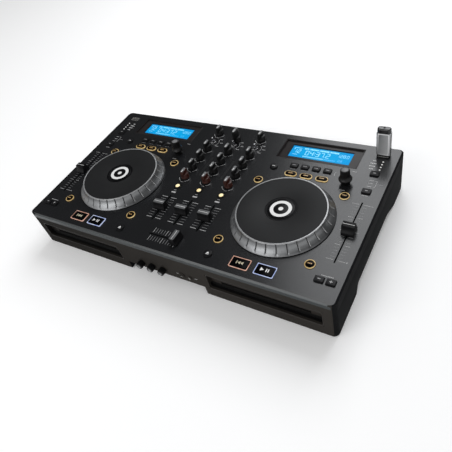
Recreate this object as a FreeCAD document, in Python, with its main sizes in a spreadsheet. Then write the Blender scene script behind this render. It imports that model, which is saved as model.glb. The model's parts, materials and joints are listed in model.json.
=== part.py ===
import FreeCAD, Part
import os
import re
import Sketcher

# A two-deck disc and USB console with a mixer between its decks. Millimetres; X to the right,
# Y to the back, Z up. The origin is on the table, under the middle of the case.

SIZES = {
    # case
    "case_width": 528, "case_depth": 288.5, "plate_top": 70, "plate_thick": 2.5,
    "cheek_thick": 3, "case_wall": 3, "corner_radius": 7, "cheek_height": 16,
    "lip_drop": 8.5, "lip_thick": 2.5, "lip_side_gap": 3, "lip_bevel": 2.4,
    "floor_level": 18, "floor_thick": 2.5,
    # pods under the case, and what they stand on
    "foot_height": 2, "pod_side": 71, "pod_wall": 2.5, "front_pod_length": 70,
    "front_pod_slope": 8, "rear_pod_length": 46, "rear_pod_slope": 38,
    "foot_radius": 9, "foot_inset_x": 26, "foot_inset_y": 24,
    "screw_radius": 1.5, "screw_head_radius": 3.2, "screw_head_height": 1.8,
    "screw_length": 9, "screw_x": 66, "screw_y": 48, "boss_radius": 4,
    # running and sliding clearances
    "board_drop": 12.4, "running_gap": 0.05, "sliding_gap": 0.3, "wheel_gap": 0.3, "cap_gap": 0.5,
    # deck
    "deck_x": 146.45, "jog_y": -30.3, "jog_radius": 73.3, "jog_rim_radius": 63.5,
    "jog_rim_width": 1.8, "jog_height": 15.65, "jog_lift": 1.6, "jog_wall": 2.5,
    "touch_thick": 1.8, "touch_drop": 0.25, "hub_ring_radius": 22.5, "hub_disc_radius": 19,
    "hub_ring_depth": 0.8, "post_radius": 6, "post_height": 11.9, "post_flange_radius": 14,
    "post_flange_thick": 2, "post_tail": 6, "hub_wall": 3.5,
    # display
    "display_y": 110.75, "window_length": 129, "window_width": 45.5, "window_thick": 1.5,
    "window_overlap": 1.5, "lcd_length": 106, "lcd_width": 34,
    # buttons: place, size and travel
    "button_depth": 4.4, "button_height": 2.5, "button_travel": 1.2,
    "small_length": 12, "small_width": 8.5, "small_pitch": 17.7, "small_y": 73,
    "pill_length": 20, "pill_width": 11, "pill_pitch": 24.5, "pill_y": 54.5,
    "mode_radius": 6, "mode_x": -56.45, "mode_y": 63.5,
    "ring_radius": 7.3, "ring_width": 1.7, "loop_x": 67.05, "loop_upper_y": 30,
    "loop_lower_y": -95.5, "guide_height": 0.6, "guide_depth": 3.2,
    "play_x": 18.2, "play_y": -123.5, "play_length": 28, "play_width": 18,
    "frame_width": 1.45, "play_height": 2,
    "eject_x": 67.65, "eject_radius": 6,
    "bend_x": 93.55, "bend_pitch": 15, "bend_y": -113.5,
    "side_x": 92.2, "source_y": 83.5, "pitch_y": 46.3, "source_length": 12.5,
    "source_width": 9,
    # browse knob
    "browse_x": 59.5, "browse_y": 56, "browse_neck": 6.6, "browse_flare": 9.7,
    "browse_flare_level": 8.5, "browse_top": 6.2, "browse_height": 25.3,
    # pitch fader
    "pitch_x": 93.8, "pitch_fader_y": -29.4, "pitch_travel": 100, "pitch_cap_length": 17,
    "pitch_cap_width": 17, "pitch_cap_top": 9, "pitch_cap_height": 14,
    # faders in general
    "slot_width": 2, "slot_spare": 9, "stem_thick": 1.2, "stem_width": 6, "stem_depth": 7.5,
    "track_width": 9, "track_spare": 28, "track_wall": 1.5, "track_lips": 2.5,
    # mixer
    "column_pitch": 40.4, "knob_first_y": 4.8, "knob_row_pitch": 24.43, "top_knob_y": 121.3,
    "selector_y": 109.8, "selector_height": 23, "knob_radius": 6.8, "knob_body": 9,
    "knob_height": 15.5, "fin_length": 13.4, "fin_width": 6.8, "selector_fin_length": 16.5,
    "shaft_radius": 3, "shaft_depth": 8, "pot_radius": 8,
    "switch_y": 97.5, "bushing_radius": 3, "bushing_height": 3.6, "bushing_bore": 2.3,
    "lever_ball": 2, "lever_radius": 1.1, "lever_tip_radius": 1.5, "lever_height": 10, "lever_pivot": 1.2,
    "switch_length": 13, "switch_width": 8, "switch_drop": 3,
    "meter_x": 20.2, "meter_y": 37.5, "meter_length": 46, "meter_width": 4,
    "phones_y": -18, "phones_radius": 5, "phones_ring": 6.5,
    "fader_y": -65.6, "fader_travel": 45, "cap_length": 20, "cap_width": 16, "cap_top": 8,
    "cap_top_length": 18, "cap_height": 13, "cross_y": -117.1,
    # status lights beside the drive socket
    "lamp_x": 95.85, "lamp_first_y": 94, "lamp_pitch": 6, "lamp_radius": 1.2,
    # drive sockets and the drive stick
    "usb_x": 92.05, "usb_y": 127, "usb_shell_length": 16, "usb_shell_width": 8.6,
    "usb_plug_length": 12, "usb_plug_width": 4.5, "usb_plug_depth": 11.7, "usb_lip": 0.6,
    "stick_length": 20, "stick_width": 9.6, "stick_height": 48.5, "stick_round": 4,
    # disc slots and disc drives
    "bezel_x": 163, "bezel_length": 168, "bezel_top": 50, "bezel_bottom": 19,
    "bezel_depth": 9, "bezel_wall": 1.5, "disc_x": 162.5, "disc_level": 30,
    "disc_slot_length": 131, "disc_slot_height": 5, "drive_width": 146, "drive_length": 150,
    "drive_height": 28, "drive_wall": 2, "disc_radius": 60, "disc_setback": 8,
    "spindle_radius": 1.95, "platter_radius": 13, "platter_thick": 1.6,
    "centring_radius": 7.3, "spindle_top_gap": 0.6, "roller_radius": 3,
    "roller_journal": 1.45, "roller_setback": 7, "roller_gap": 0.4, "roller_end_gap": 1.5,
    # circuit boards
    "board_thick": 1.6, "board_side": 4, "deck_board_inner": 75, "mixer_board_half": 62,
    "power_board_depth": 90, "power_board_y": 70, "power_board_lift": 4,
    "standoff_radius": 3, "transformer_length": 48, "transformer_width": 40,
    "transformer_height": 26,
    # front controls
    "front_level": 30, "front_knob_pitch": 20, "front_knob_x": -18, "front_knob_radius": 5.5,
    "front_knob_reach": 10, "front_pot_depth": 9, "phones_jack_x": 35, "mini_jack_x": 49,
    "phones_jack_bore": 3.2, "mini_jack_bore": 1.8, "jack_nut_radius": 6,
    "mini_nut_radius": 4, "jack_reach": 2, "jack_length": 22, "jack_wall": 1.4,
    # rear sockets
    "rca_first_x": -96, "rca_pitch": 24, "rca_upper": 44, "rca_lower": 30,
    "rca_barrel": 4.15, "rca_flange": 6, "rca_flange_thick": 1, "rca_bore": 1.65,
    "rca_depth": 8, "rear_reach": 10, "rca_tail": 6,
    "inlet_x": 180, "inlet_level": 34, "inlet_length": 27, "inlet_height": 19.5,
    "inlet_depth": 20, "inlet_wall": 2, "pin_length": 12, "pin_width": 4,
    "pin_thick": 2, "pin_pitch": 7,
    "link_x": 72, "link_length": 12, "link_height": 10.9, "link_cavity_length": 9,
    "link_cavity_height": 7.9, "rear_lip": 1.5,
    "rocker_x": 218, "rocker_length": 12, "rocker_height": 20, "rocker_depth": 3,
    "rocker_raised": 5.2, "rocker_dip": 2.6, "rocker_flush": 3.4, "rocker_nose": 2,
    "rocker_back": 5, "rocker_wall": 1.5,
}

SIDES = {"left": -1, "right": 1}
COLUMNS = (-1, 0, 1)
WORD = re.compile(r"[a-z][a-z_]*[a-z]")

doc = FreeCAD.newDocument("dj_console")
sheet = doc.addObject("Spreadsheet::Sheet", "Sizes")
for row, (alias, value) in enumerate(SIZES.items(), start=1):
    sheet.set(f"A{row}", alias)
    sheet.set(f"B{row}", str(value))
    sheet.setAlias(f"B{row}", alias)
doc.recompute()


# ---- helpers: formulas name the sheet's sizes by their plain names ----

def formula(text):
    """Spell each size in a formula as its cell in the sheet."""
    def cell(match):
        word = match.group()
        return f"Sizes.{word}" if word in SIZES else word
    return WORD.sub(cell, str(text))


def bind(obj, **formulas):
    for name, text in formulas.items():
        obj.setExpression(name, formula(text))
    return obj


def put(obj, x=0, y=0, z=0):
    """Bind an object's place to three formulas."""
    for axis, text in zip("xyz", (x, y, z)):
        obj.setExpression(f"Placement.Base.{axis}", formula(text))
    return obj


def box(name, size, at):
    """A box centred on `at` in X and Y, with its underside at its Z."""
    length, width, height = size
    part = doc.addObject("Part::Box", name)
    bind(part, Length=length, Width=width, Height=height)
    return put(part, f"{at[0]} - ({length}) / 2", f"{at[1]} - ({width}) / 2", at[2])


TURNS = {
    "z": FreeCAD.Rotation(),
    "x": FreeCAD.Rotation(FreeCAD.Vector(0, 1, 0), 90),
    "y": FreeCAD.Rotation(FreeCAD.Vector(1, 0, 0), -90),
}


def cylinder(name, radius, height, at, along="z"):
    """A cylinder whose first end is centred on `at`."""
    part = doc.addObject("Part::Cylinder", name)
    bind(part, Radius=radius, Height=height)
    part.Placement.Rotation = TURNS[along]
    return put(part, *at)


def taper(name, radii, height, at):
    """An upright cone, from its lower radius to its upper one."""
    part = doc.addObject("Part::Cone", name)
    bind(part, Radius1=radii[0], Radius2=radii[1], Height=height)
    return put(part, *at)


def union(name, parts):
    fused = doc.addObject("Part::MultiFuse", name)
    fused.Shapes = parts
    fused.Refine = True
    return fused


def group(name, parts):
    """Separate solids that share one file."""
    compound = doc.addObject("Part::Compound", name)
    compound.Links = parts
    return compound


def cut(name, base, tools):
    """Base less its tools, which lie clear of each other."""
    less = doc.addObject("Part::Cut", name)
    less.Base = base
    less.Tool = tools[0] if len(tools) == 1 else group(name + "_tools", tools)
    less.Refine = True
    return less


def pill(name, length, width, height, at):
    """An upright slab with round ends, long in X."""
    reach = f"(({length}) - ({width})) / 2"
    ends = [cylinder(f"{name}_end{side + 1}", f"({width}) / 2", height,
                     (f"{at[0]} + {side} * {reach}", at[1], at[2])) for side in (-1, 1)]
    return union(name, [box(name + "_slab", (f"2 * {reach}", width, height), at)] + ends)


def body_with_outline(name, plane, outline):
    """A body whose first sketch is a closed outline of formula pairs on an origin plane."""
    body = doc.addObject("PartDesign::Body", name)
    sketch = body.newObject("Sketcher::SketchObject", name + "_sketch")
    origin_plane = [f for f in body.Origin.OriginFeatures if f.Role == plane][0]
    sketch.AttachmentSupport = [(origin_plane, "")]
    sketch.MapMode = "FlatFace"
    count = len(outline)
    for i in range(count):
        start = FreeCAD.Vector(i + 1, i * i + 1, 0)
        end = FreeCAD.Vector((i + 1) % count + 1, ((i + 1) % count) ** 2 + 1, 0)
        sketch.addGeometry(Part.LineSegment(start, end), False)
    for i in range(count):
        sketch.addConstraint(Sketcher.Constraint("Coincident", i, 2, (i + 1) % count, 1))
    for i, pair in enumerate(outline):
        for kind, text in zip(("DistanceX", "DistanceY"), pair):
            index = sketch.addConstraint(Sketcher.Constraint(kind, -1, 1, i, 1, 1.0))
            sketch.setExpression(f"Constraints[{index}]", formula(text))
    return body, sketch


def prism(name, plane, outline, length, at=(0, 0, 0)):
    """An outline padded evenly to both sides of its plane, then placed."""
    body, sketch = body_with_outline(name, plane, outline)
    pad = body.newObject("PartDesign::Pad", name + "_pad")
    pad.Profile = sketch
    pad.Midplane = True
    bind(pad, Length=length)
    return put(body, *at)


def turned(name, outline, at=(0, 0, 0)):
    """An outline of radius and height pairs turned about the Z axis, then placed."""
    body, sketch = body_with_outline(name, "XZ_Plane", outline)
    turn = body.newObject("PartDesign::Revolution", name + "_turn")
    turn.Profile = sketch
    turn.ReferenceAxis = (sketch, ["V_Axis"])
    turn.Angle = 360
    return put(body, *at)


def rounded_slab(name, length, width, height, radius, at):
    """A slab centred on `at`, with its four upright edges rounded."""
    half_x, half_y = f"({length}) / 2", f"({width}) / 2"
    corners = [(f"-{half_x}", f"-{half_y}"), (half_x, f"-{half_y}"),
               (half_x, half_y), (f"-{half_x}", half_y)]
    body, sketch = body_with_outline(name, "XY_Plane", corners)
    pad = body.newObject("PartDesign::Pad", name + "_pad")
    pad.Profile = sketch
    bind(pad, Length=height)
    doc.recompute()
    fillet = body.newObject("PartDesign::Fillet", name + "_corners")
    fillet.Base = (pad, upright_edges(pad.Shape))
    bind(fillet, Radius=radius)
    return put(body, *at)


def upright_edges(shape):
    return [f"Edge{i}" for i, edge in enumerate(shape.Edges, start=1)
            if abs(edge.tangentAt(edge.FirstParameter).z) > 0.99]


# ---- levels and places that several sub-parts share ----

PLATE_UNDER = "(plate_top - plate_thick)"
BOARD_TOP = "(plate_top - board_drop)"
FLOOR_TOP = "(floor_level + floor_thick)"
CHEEK_BASE = "(plate_top - cheek_height)"
LIP_BASE = "(plate_top - lip_drop)"
PLATE_WIDTH = "(case_width - 2 * cheek_thick)"
LIP_LENGTH = f"({PLATE_WIDTH} - 2 * lip_side_gap)"
FRONT = "(-case_depth / 2)"
REAR = "(case_depth / 2)"
POD_LENGTH = "(case_width / 2 - pod_side)"
POD_DROP = "(floor_level - foot_height)"
ROD = "(shaft_radius + running_gap)"


def deck(side):
    return f"({side} * deck_x)"


def knob_places():
    """Name and place of each mixer knob, row by row from the front."""
    rows = ("bass", "mid", "treble", "gain")
    for row, label in enumerate(rows):
        for column in COLUMNS:
            yield (f"{label}_knob_{column + 2}", f"{column} * column_pitch",
                   f"(knob_first_y + {row} * knob_row_pitch)")
    yield "booth_knob", "-column_pitch", "top_knob_y"
    yield "microphone_knob", "0", "selector_y"
    yield "master_knob", "column_pitch", "top_knob_y"


def front_knob_places():
    for i, name in enumerate(("phones_mix_knob", "phones_level_knob", "fader_curve_knob")):
        yield name, f"(front_knob_x + {i - 1} * front_knob_pitch)"


def square_buttons(side):
    """Place and size of the plain four-sided buttons of a deck."""
    for i in range(4):
        yield (f"{deck(side)} + {i - 1.5} * small_pitch", "small_y",
               "small_length", "small_width")
    for i in (-0.5, 0.5):
        yield (f"{side} * (deck_x + bend_x) + {i} * bend_pitch", "bend_y",
               "small_length", "small_width")
    for y in ("source_y", "pitch_y"):
        yield f"{side} * (deck_x + side_x)", y, "source_length", "source_width"


def round_buttons(side):
    """Place and radius of the plain round buttons of a deck."""
    yield f"{deck(side)} + mode_x", "mode_y", "mode_radius"
    yield f"{side} * (deck_x - eject_x)", "play_y", "eject_radius"


def loop_places(side):
    for i in (-1, 1):
        for y in ("loop_upper_y", "loop_lower_y"):
            yield f"{deck(side)} + {i} * loop_x", y


def pill_places(side):
    for i in (-1, 0, 1):
        yield f"{deck(side)} + {i} * pill_pitch", "pill_y"


def play_places(side):
    """The cue button's place, then the play button's."""
    yield f"{deck(side)} - play_x", "play_y"
    yield f"{deck(side)} + play_x", "play_y"


def fader_tracks():
    """Place, travel and direction of each sliding fader."""
    for name, side in SIDES.items():
        yield f"pitch_{name}", f"{side} * (deck_x + pitch_x)", "pitch_fader_y", "pitch_travel", "y"
    for column in COLUMNS:
        yield (f"channel_{column + 2}", f"{column} * column_pitch", "fader_y",
               "fader_travel", "y")
    yield "cross", "0", "cross_y", "fader_travel", "x"


def along(direction, length, width):
    return (length, width) if direction == "x" else (width, length)


# ---- the case ----

def plate_holes(z, height):
    """Every opening through the top plate."""
    tools = []
    for name, side in SIDES.items():
        tag = f"hole_{name}"
        tools.append(box(f"{tag}_window", ("window_length", "window_width", height),
                         (deck(side), "display_y", z)))
        tools.append(cylinder(f"{tag}_post", "post_radius", height,
                              (deck(side), "jog_y", z)))
        for i, (x, y, length, width) in enumerate(square_buttons(side)):
            size = (f"{length} + 2 * sliding_gap", f"{width} + 2 * sliding_gap", height)
            tools.append(box(f"{tag}_square_{i}", size, (x, y, z)))
        for i, (x, y, radius) in enumerate(round_buttons(side)):
            tools.append(cylinder(f"{tag}_round_{i}", f"{radius} + sliding_gap", height,
                                  (x, y, z)))
        for i, (x, y) in enumerate(loop_places(side)):
            tools.append(cylinder(f"{tag}_loop_{i}", "ring_radius", height, (x, y, z)))
        for i, (x, y) in enumerate(pill_places(side)):
            tools.append(pill(f"{tag}_pill_{i}", "pill_length", "pill_width", height, (x, y, z)))
        for i, (x, y) in enumerate(play_places(side)):
            tools.append(box(f"{tag}_play_{i}", ("play_length", "play_width", height),
                             (x, y, z)))
        tools.append(cylinder(f"{tag}_browse", ROD, height,
                              (f"{deck(side)} + browse_x", "browse_y", z)))
        tools.append(box(f"{tag}_usb", ("usb_shell_length", "usb_shell_width", height),
                         (f"{side} * (deck_x + usb_x)", "usb_y", z)))
        for i in range(4):
            tools.append(cylinder(f"{tag}_lamp_{i}", "lamp_radius", height,
                                  (f"{side} * (deck_x + lamp_x)",
                                   f"lamp_first_y + {i} * lamp_pitch", z)))
        tools.append(box(f"{tag}_meter", ("meter_width", "meter_length", height),
                         (f"{side} * meter_x", "meter_y", z)))
    for name, x, y in knob_places():
        tools.append(cylinder(f"hole_{name}", ROD, height, (x, y, z)))
    for column in COLUMNS:
        x = f"{column} * column_pitch"
        tools.append(cylinder(f"hole_switch_{column + 2}", "bushing_radius", height,
                              (x, "switch_y", z)))
        tools.append(cylinder(f"hole_phones_{column + 2}", "phones_ring", height,
                              (x, "phones_y", z)))
    for name, x, y, travel, direction in fader_tracks():
        length, width = along(direction, f"{travel} + slot_spare", "slot_width")
        tools.append(box(f"hole_fader_{name}", (length, width, height), (x, y, z)))
    return tools


def top_plate():
    """The flat panel of controls, with its bent and bevelled front lip."""
    slab = rounded_slab("plate_slab", PLATE_WIDTH, "case_depth", "plate_thick",
                        "corner_radius", ("0", "0", PLATE_UNDER))
    lip = box("plate_lip", (LIP_LENGTH, "lip_thick", "lip_drop - plate_thick"),
              ("0", f"{FRONT} + lip_thick / 2", LIP_BASE))
    bevel = prism("plate_bevel", "YZ_Plane",
                  [(f"{FRONT} - 1", "plate_top - lip_bevel - 1"),
                   (f"{FRONT} + lip_bevel + 1", "plate_top + 1"),
                   (f"{FRONT} - 1", "plate_top + 1")], "case_width")
    tools = plate_holes(f"{PLATE_UNDER} - 1", "plate_thick + 2")
    bent = union("plate_bent", [slab, lip])
    return cut("top_plate", cut("plate_bevelled", bent, [bevel]), tools)


def upper_case():
    """The side cheeks and the rear band that frame the top plate."""
    block = rounded_slab("upper_block", "case_width", "case_depth", "cheek_height",
                         "corner_radius + 1", ("0", "0", CHEEK_BASE))
    seat = rounded_slab("upper_seat", PLATE_WIDTH, "case_depth", "plate_thick",
                        "corner_radius", ("0", "0", PLATE_UNDER))
    cavity = box("upper_cavity", ("case_width - 2 * case_wall", "case_depth - 2 * case_wall",
                                  "cheek_height - plate_thick"), ("0", "0", CHEEK_BASE))
    front = box("upper_front", (LIP_LENGTH, "case_wall", "cheek_height - plate_thick"),
                ("0", f"{FRONT} + case_wall / 2", CHEEK_BASE))
    hollow = union("upper_hollow", [cavity, front])
    return cut("upper_case", cut("upper_framed", block, [seat]), [hollow])


def pod_outline(end, length, slope, wall):
    """Side outline of a pod at the front (-1) or rear (1) end, shrunk by a wall."""
    lean = f"{wall} * sqrt(1 + ({slope} / {POD_DROP}) ^ 2)" if wall != "0" else "0"
    outer = f"{end} * (case_depth / 2 - {wall})"
    knee = f"{end} * (case_depth / 2 - {length} + {lean})"
    shin = f"{end} * (case_depth / 2 - {length} - {slope} + {lean})"
    base = f"foot_height + {wall}"
    rise = "floor_level" if wall == "0" else FLOOR_TOP
    if wall != "0":
        shin = f"{knee} - {end} * ({FLOOR_TOP} - {base}) * {slope} / {POD_DROP}"
    return [(outer, rise), (outer, base), (knee, base), (shin, rise)]


def pods(name, wall):
    """The four pods under the case, or their hollows."""
    parts = []
    for end, tag, length, slope in ((-1, "front", "front_pod_length", "front_pod_slope"),
                                    (1, "rear", "rear_pod_length", "rear_pod_slope")):
        for side_name, side in SIDES.items():
            parts.append(prism(f"{name}_{tag}_{side_name}", "YZ_Plane",
                               pod_outline(end, length, slope, wall),
                               f"{POD_LENGTH} - 2 * {wall}",
                               (f"{side} * (pod_side + {POD_LENGTH} / 2)", "0", "0")))
    return parts


def drive_posts():
    """Posts that carry the front of each disc drive, in its pod."""
    places = [(side, end) for side in SIDES.values() for end in (-1, 1)]
    return [cylinder(f"drive_post_{i}", "boss_radius", f"{FLOOR_TOP} - foot_height - pod_wall / 2",
                     (f"{side} * disc_x + {end} * (drive_width / 2 - 2 * boss_radius)",
                      f"{FRONT} + bezel_depth + 3 * boss_radius", "foot_height + pod_wall / 2"))
            for i, (side, end) in enumerate(places)]


def screw_places():
    return [(f"{i} * screw_x", f"{j} * screw_y") for i in (-1, 1) for j in (-1, 1)]


def wall_holes():
    """Openings in the front and rear walls for the bezels, knobs, jacks and sockets."""
    depth = "3 * case_wall"
    tools = []
    for name, side in SIDES.items():
        tools.append(box(f"front_hole_bezel_{name}",
                         ("bezel_length", depth, "bezel_top - bezel_bottom"),
                         (f"{side} * bezel_x", FRONT, "bezel_bottom")))
    fronts = [(x, ROD) for name, x in front_knob_places()]
    fronts += [("phones_jack_x", "phones_jack_bore + jack_wall"),
               ("mini_jack_x", "mini_jack_bore + jack_wall")]
    for i, (x, radius) in enumerate(fronts):
        tools.append(cylinder(f"front_hole_{i}", radius, depth,
                              (x, f"{FRONT} - case_wall", "front_level"), "y"))
    for i, (x, z) in enumerate(rca_places()):
        tools.append(cylinder(f"rear_hole_rca_{i}", "rca_barrel", depth,
                              (x, f"{REAR} - 2 * case_wall", z), "y"))
    for name, (x, z, length, height) in rear_blocks().items():
        tools.append(box(f"rear_hole_{name}", (length, depth, height),
                         (x, REAR, f"{z} - ({height}) / 2")))
    return tools


def rca_places():
    return [(f"rca_first_x + {i} * rca_pitch", z)
            for i in range(4) for z in ("rca_upper", "rca_lower")]


def rear_blocks():
    """Centre and outer size of each four-sided socket in the rear wall."""
    return {
        "inlet": ("inlet_x", "inlet_level", "inlet_length", "inlet_height"),
        "link": ("link_x", "inlet_level", "link_length", "link_height"),
        "rocker": ("rocker_x", "inlet_level",
                   "(rocker_length + 2 * rocker_wall + 2 * sliding_gap)",
                   "(rocker_height + 4 * rocker_wall)"),
    }


def bottom_case():
    """The tray that holds the drives and boards, on its four pods."""
    tray = box("tray_block", ("case_width", "case_depth", f"{CHEEK_BASE} - floor_level"),
               ("0", "0", "floor_level"))
    brow = box("tray_brow", (LIP_LENGTH, "case_wall", f"{LIP_BASE} - {CHEEK_BASE}"),
               ("0", f"{FRONT} + case_wall / 2", CHEEK_BASE))
    outside = union("tray_outside", [tray, brow] + pods("pod", "0"))
    footprint = rounded_slab("tray_footprint", "case_width", "case_depth", "plate_top",
                             "corner_radius + 1", ("0", "0", "0"))
    shaped = doc.addObject("Part::Common", "tray_shaped")
    shaped.Base = outside
    shaped.Tool = footprint
    cavity = box("tray_cavity", ("case_width - 2 * case_wall", "case_depth - 2 * case_wall",
                                 f"{CHEEK_BASE} - {FLOOR_TOP}"), ("0", "0", FLOOR_TOP))
    hollow = union("tray_hollow", [cavity] + pods("hollow", "pod_wall"))
    shell = cut("tray_shell", shaped, [hollow])
    bosses = [cylinder(f"boss_{i}", "boss_radius", "screw_length", (x, y, "floor_level"))
              for i, (x, y) in enumerate(screw_places())]
    holes = [cylinder(f"boss_hole_{i}", "screw_radius", "screw_length + 2",
                      (x, y, "floor_level - 1")) for i, (x, y) in enumerate(screw_places())]
    fitted = union("tray_fitted", [shell] + bosses + drive_posts())
    return cut("bottom_case", fitted, wall_holes() + holes)


def rubber_feet():
    places = [(f"{i} * (case_width / 2 - foot_inset_x)", f"{j} * (case_depth / 2 - foot_inset_y)")
              for i in (-1, 1) for j in (-1, 1)]
    return group("rubber_feet", [cylinder(f"foot_{i}", "foot_radius", "foot_height", (x, y, "0"))
                                 for i, (x, y) in enumerate(places)])


def case_screws():
    screws = []
    for i, (x, y) in enumerate(screw_places()):
        head = cylinder(f"screw_head_{i}", "screw_head_radius", "screw_head_height",
                        (x, y, "floor_level - screw_head_height"))
        shank = cylinder(f"screw_shank_{i}", "screw_radius", "screw_length",
                         (x, y, "floor_level"))
        screws.append(union(f"screw_{i}", [head, shank]))
    return group("case_screws", screws)


# ---- disc slots and disc drives ----

def slot_bezels():
    """The recessed frames round the two disc slots."""
    bezels = []
    for name, side in SIDES.items():
        x = f"{side} * bezel_x"
        height = "(bezel_top - bezel_bottom)"
        block = box(f"bezel_block_{name}", ("bezel_length", "bezel_depth", height),
                    (x, f"{FRONT} + bezel_depth / 2", "bezel_bottom"))
        dish = box(f"bezel_dish_{name}",
                   ("bezel_length - 2 * bezel_wall", "bezel_depth - bezel_wall",
                    f"{height} - 2 * bezel_wall"),
                   (x, f"{FRONT} + (bezel_depth - bezel_wall) / 2",
                    "bezel_bottom + bezel_wall"))
        slot = disc_slot(f"bezel_slot_{name}", side, f"{FRONT} + bezel_depth", "2 * bezel_depth")
        bezels.append(cut(f"bezel_{name}", block, [union(f"bezel_open_{name}", [dish, slot])]))
    return group("slot_bezels", bezels)


def disc_slot(name, side, y, depth):
    return box(name, ("disc_slot_length", depth, "disc_slot_height"),
               (f"{side} * disc_x", y, "disc_level - disc_slot_height / 2"))


DRIVE_FRONT = f"({FRONT} + bezel_depth)"
SPINDLE_Y = f"({DRIVE_FRONT} + disc_setback + disc_radius)"
ROLLER_Y = f"({DRIVE_FRONT} + roller_setback)"
ROLLER_LEVEL = "(disc_level + disc_slot_height / 2 + roller_gap + roller_radius)"


def disc_drives():
    """Each drive's box, open at the front, with bores for its spindle and roller."""
    drives = []
    for name, side in SIDES.items():
        x = f"{side} * disc_x"
        middle = f"{DRIVE_FRONT} + drive_length / 2"
        block = box(f"drive_block_{name}", ("drive_width", "drive_length", "drive_height"),
                    (x, middle, FLOOR_TOP))
        bay = box(f"drive_bay_{name}",
                  ("drive_width - 2 * drive_wall", "drive_length - 2 * drive_wall",
                   "drive_height - 2 * drive_wall"), (x, middle, f"{FLOOR_TOP} + drive_wall"))
        slot = disc_slot(f"drive_slot_{name}", side, DRIVE_FRONT, "4 * drive_wall")
        bore = cylinder(f"drive_bore_{name}", "spindle_radius + running_gap", "3 * drive_wall",
                        (x, SPINDLE_Y, f"{FLOOR_TOP} - drive_wall"))
        axle = cylinder(f"drive_axle_{name}", "roller_journal + running_gap", "2 * drive_width",
                        (f"{x} - drive_width", ROLLER_Y, ROLLER_LEVEL), "x")
        drives.append(cut(f"drive_{name}", block,
                          [union(f"drive_open_{name}", [bay, slot, bore, axle])]))
    return group("disc_drives", drives)


def disc_spindle(name, side):
    """The small platter that turns the disc, with its centring nose and shaft."""
    x = f"{side} * disc_x"
    base = f"({FLOOR_TOP} + drive_wall + sliding_gap)"
    top = "(disc_level - disc_slot_height / 2 - spindle_top_gap)"
    plate = cylinder(f"{name}_plate", "platter_radius", "platter_thick", (x, SPINDLE_Y, base))
    nose = taper(f"{name}_nose", ("centring_radius", "centring_radius - 1"),
                 f"{top} - {base} - platter_thick", (x, SPINDLE_Y, f"{base} + platter_thick"))
    shaft = cylinder(f"{name}_shaft", "spindle_radius", f"{base} - {FLOOR_TOP}",
                     (x, SPINDLE_Y, FLOOR_TOP))
    return union(name, [plate, nose, shaft])


def feed_roller(name, side):
    """The rubber roller that draws the disc in, on its two journals."""
    x = f"{side} * disc_x"
    length = "(drive_width - 2 * drive_wall - 2 * roller_end_gap)"
    sleeve = cylinder(f"{name}_sleeve", "roller_radius", length,
                      (f"{x} - {length} / 2", ROLLER_Y, ROLLER_LEVEL), "x")
    axle = cylinder(f"{name}_axle", "roller_journal", "drive_width",
                    (f"{x} - drive_width / 2", ROLLER_Y, ROLLER_LEVEL), "x")
    return union(name, [sleeve, axle])


# ---- what stands behind the plate ----

def circuit_boards():
    """The two deck boards, the mixer board and the power board."""
    boards = []
    for name, side in SIDES.items():
        span = "(case_width / 2 - case_wall - board_side / 4 - deck_board_inner)"
        boards.append(box(f"deck_board_{name}",
                          (span, "case_depth - 2 * case_wall - 2 * board_side", "board_thick"),
                          (f"{side} * (deck_board_inner + {span} / 2)", "0",
                           f"{BOARD_TOP} - board_thick")))
    boards.append(box("mixer_board", ("2 * mixer_board_half",
                                      "case_depth - 2 * case_wall - 8 * board_side",
                                      "board_thick"), ("0", "0", f"{BOARD_TOP} - board_thick")))
    lift = f"({FLOOR_TOP} + power_board_lift)"
    power = [box("power_board_sheet", ("2 * (mixer_board_half - board_side)",
                                       "power_board_depth", "board_thick"),
                 ("0", "power_board_y", lift)),
             box("power_transformer", ("transformer_length", "transformer_width",
                                       "transformer_height - board_thick"),
                 ("mixer_board_half / 2", "power_board_y", f"{lift} + board_thick"))]
    for i in (-1, 1):
        for j in (-1, 1):
            place = (f"{i} * (mixer_board_half - 3 * board_side)",
                     f"power_board_y + {j} * (power_board_depth / 2 - board_side)", FLOOR_TOP)
            power.append(cylinder(f"standoff_{i + 1}{j + 1}", "standoff_radius",
                                  "power_board_lift", place))
    return group("circuit_boards", boards + [union("power_board", power)])


def slide_pot(name, x, y, travel, direction):
    """A long case open at the top, in which a fader's stem runs."""
    height = "(board_drop - plate_thick)"
    length, width = along(direction, f"({travel} + track_spare)", "track_width")
    case = box(f"track_{name}", (length, width, height), (x, y, BOARD_TOP))
    length, width = along(direction, f"({travel} + track_spare - 2 * track_wall)",
                          "(track_width - 2 * track_lips)")
    groove = box(f"track_groove_{name}", (length, width, f"{height} - track_wall"),
                 (x, y, f"{BOARD_TOP} + track_wall"))
    return cut(f"slide_pot_{name}", case, [groove])


def rotary_pot(name, x, y):
    pot = cylinder(f"pot_{name}", "pot_radius", "board_drop - plate_thick", (x, y, BOARD_TOP))
    bore = cylinder(f"pot_bore_{name}", ROD, "board_drop - plate_thick - 1",
                    (x, y, f"{BOARD_TOP} + 1"))
    return cut(f"rotary_pot_{name}", pot, [bore])


def toggle_switch(name, x):
    """A switch body under the plate, with the bushing its lever stands in."""
    body = box(f"switch_body_{name}", ("switch_length", "switch_width", "board_drop - plate_thick"),
               (x, "switch_y", BOARD_TOP))
    neck = cylinder(f"switch_neck_{name}", "bushing_radius", "plate_thick + bushing_height",
                    (x, "switch_y", PLATE_UNDER))
    well = cylinder(f"switch_well_{name}", "bushing_bore",
                    "plate_thick + switch_drop + bushing_height + 1",
                    (x, "switch_y", f"{PLATE_UNDER} - switch_drop"))
    return cut(f"toggle_switch_{name}", union(f"switch_joined_{name}", [body, neck]), [well])


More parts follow.
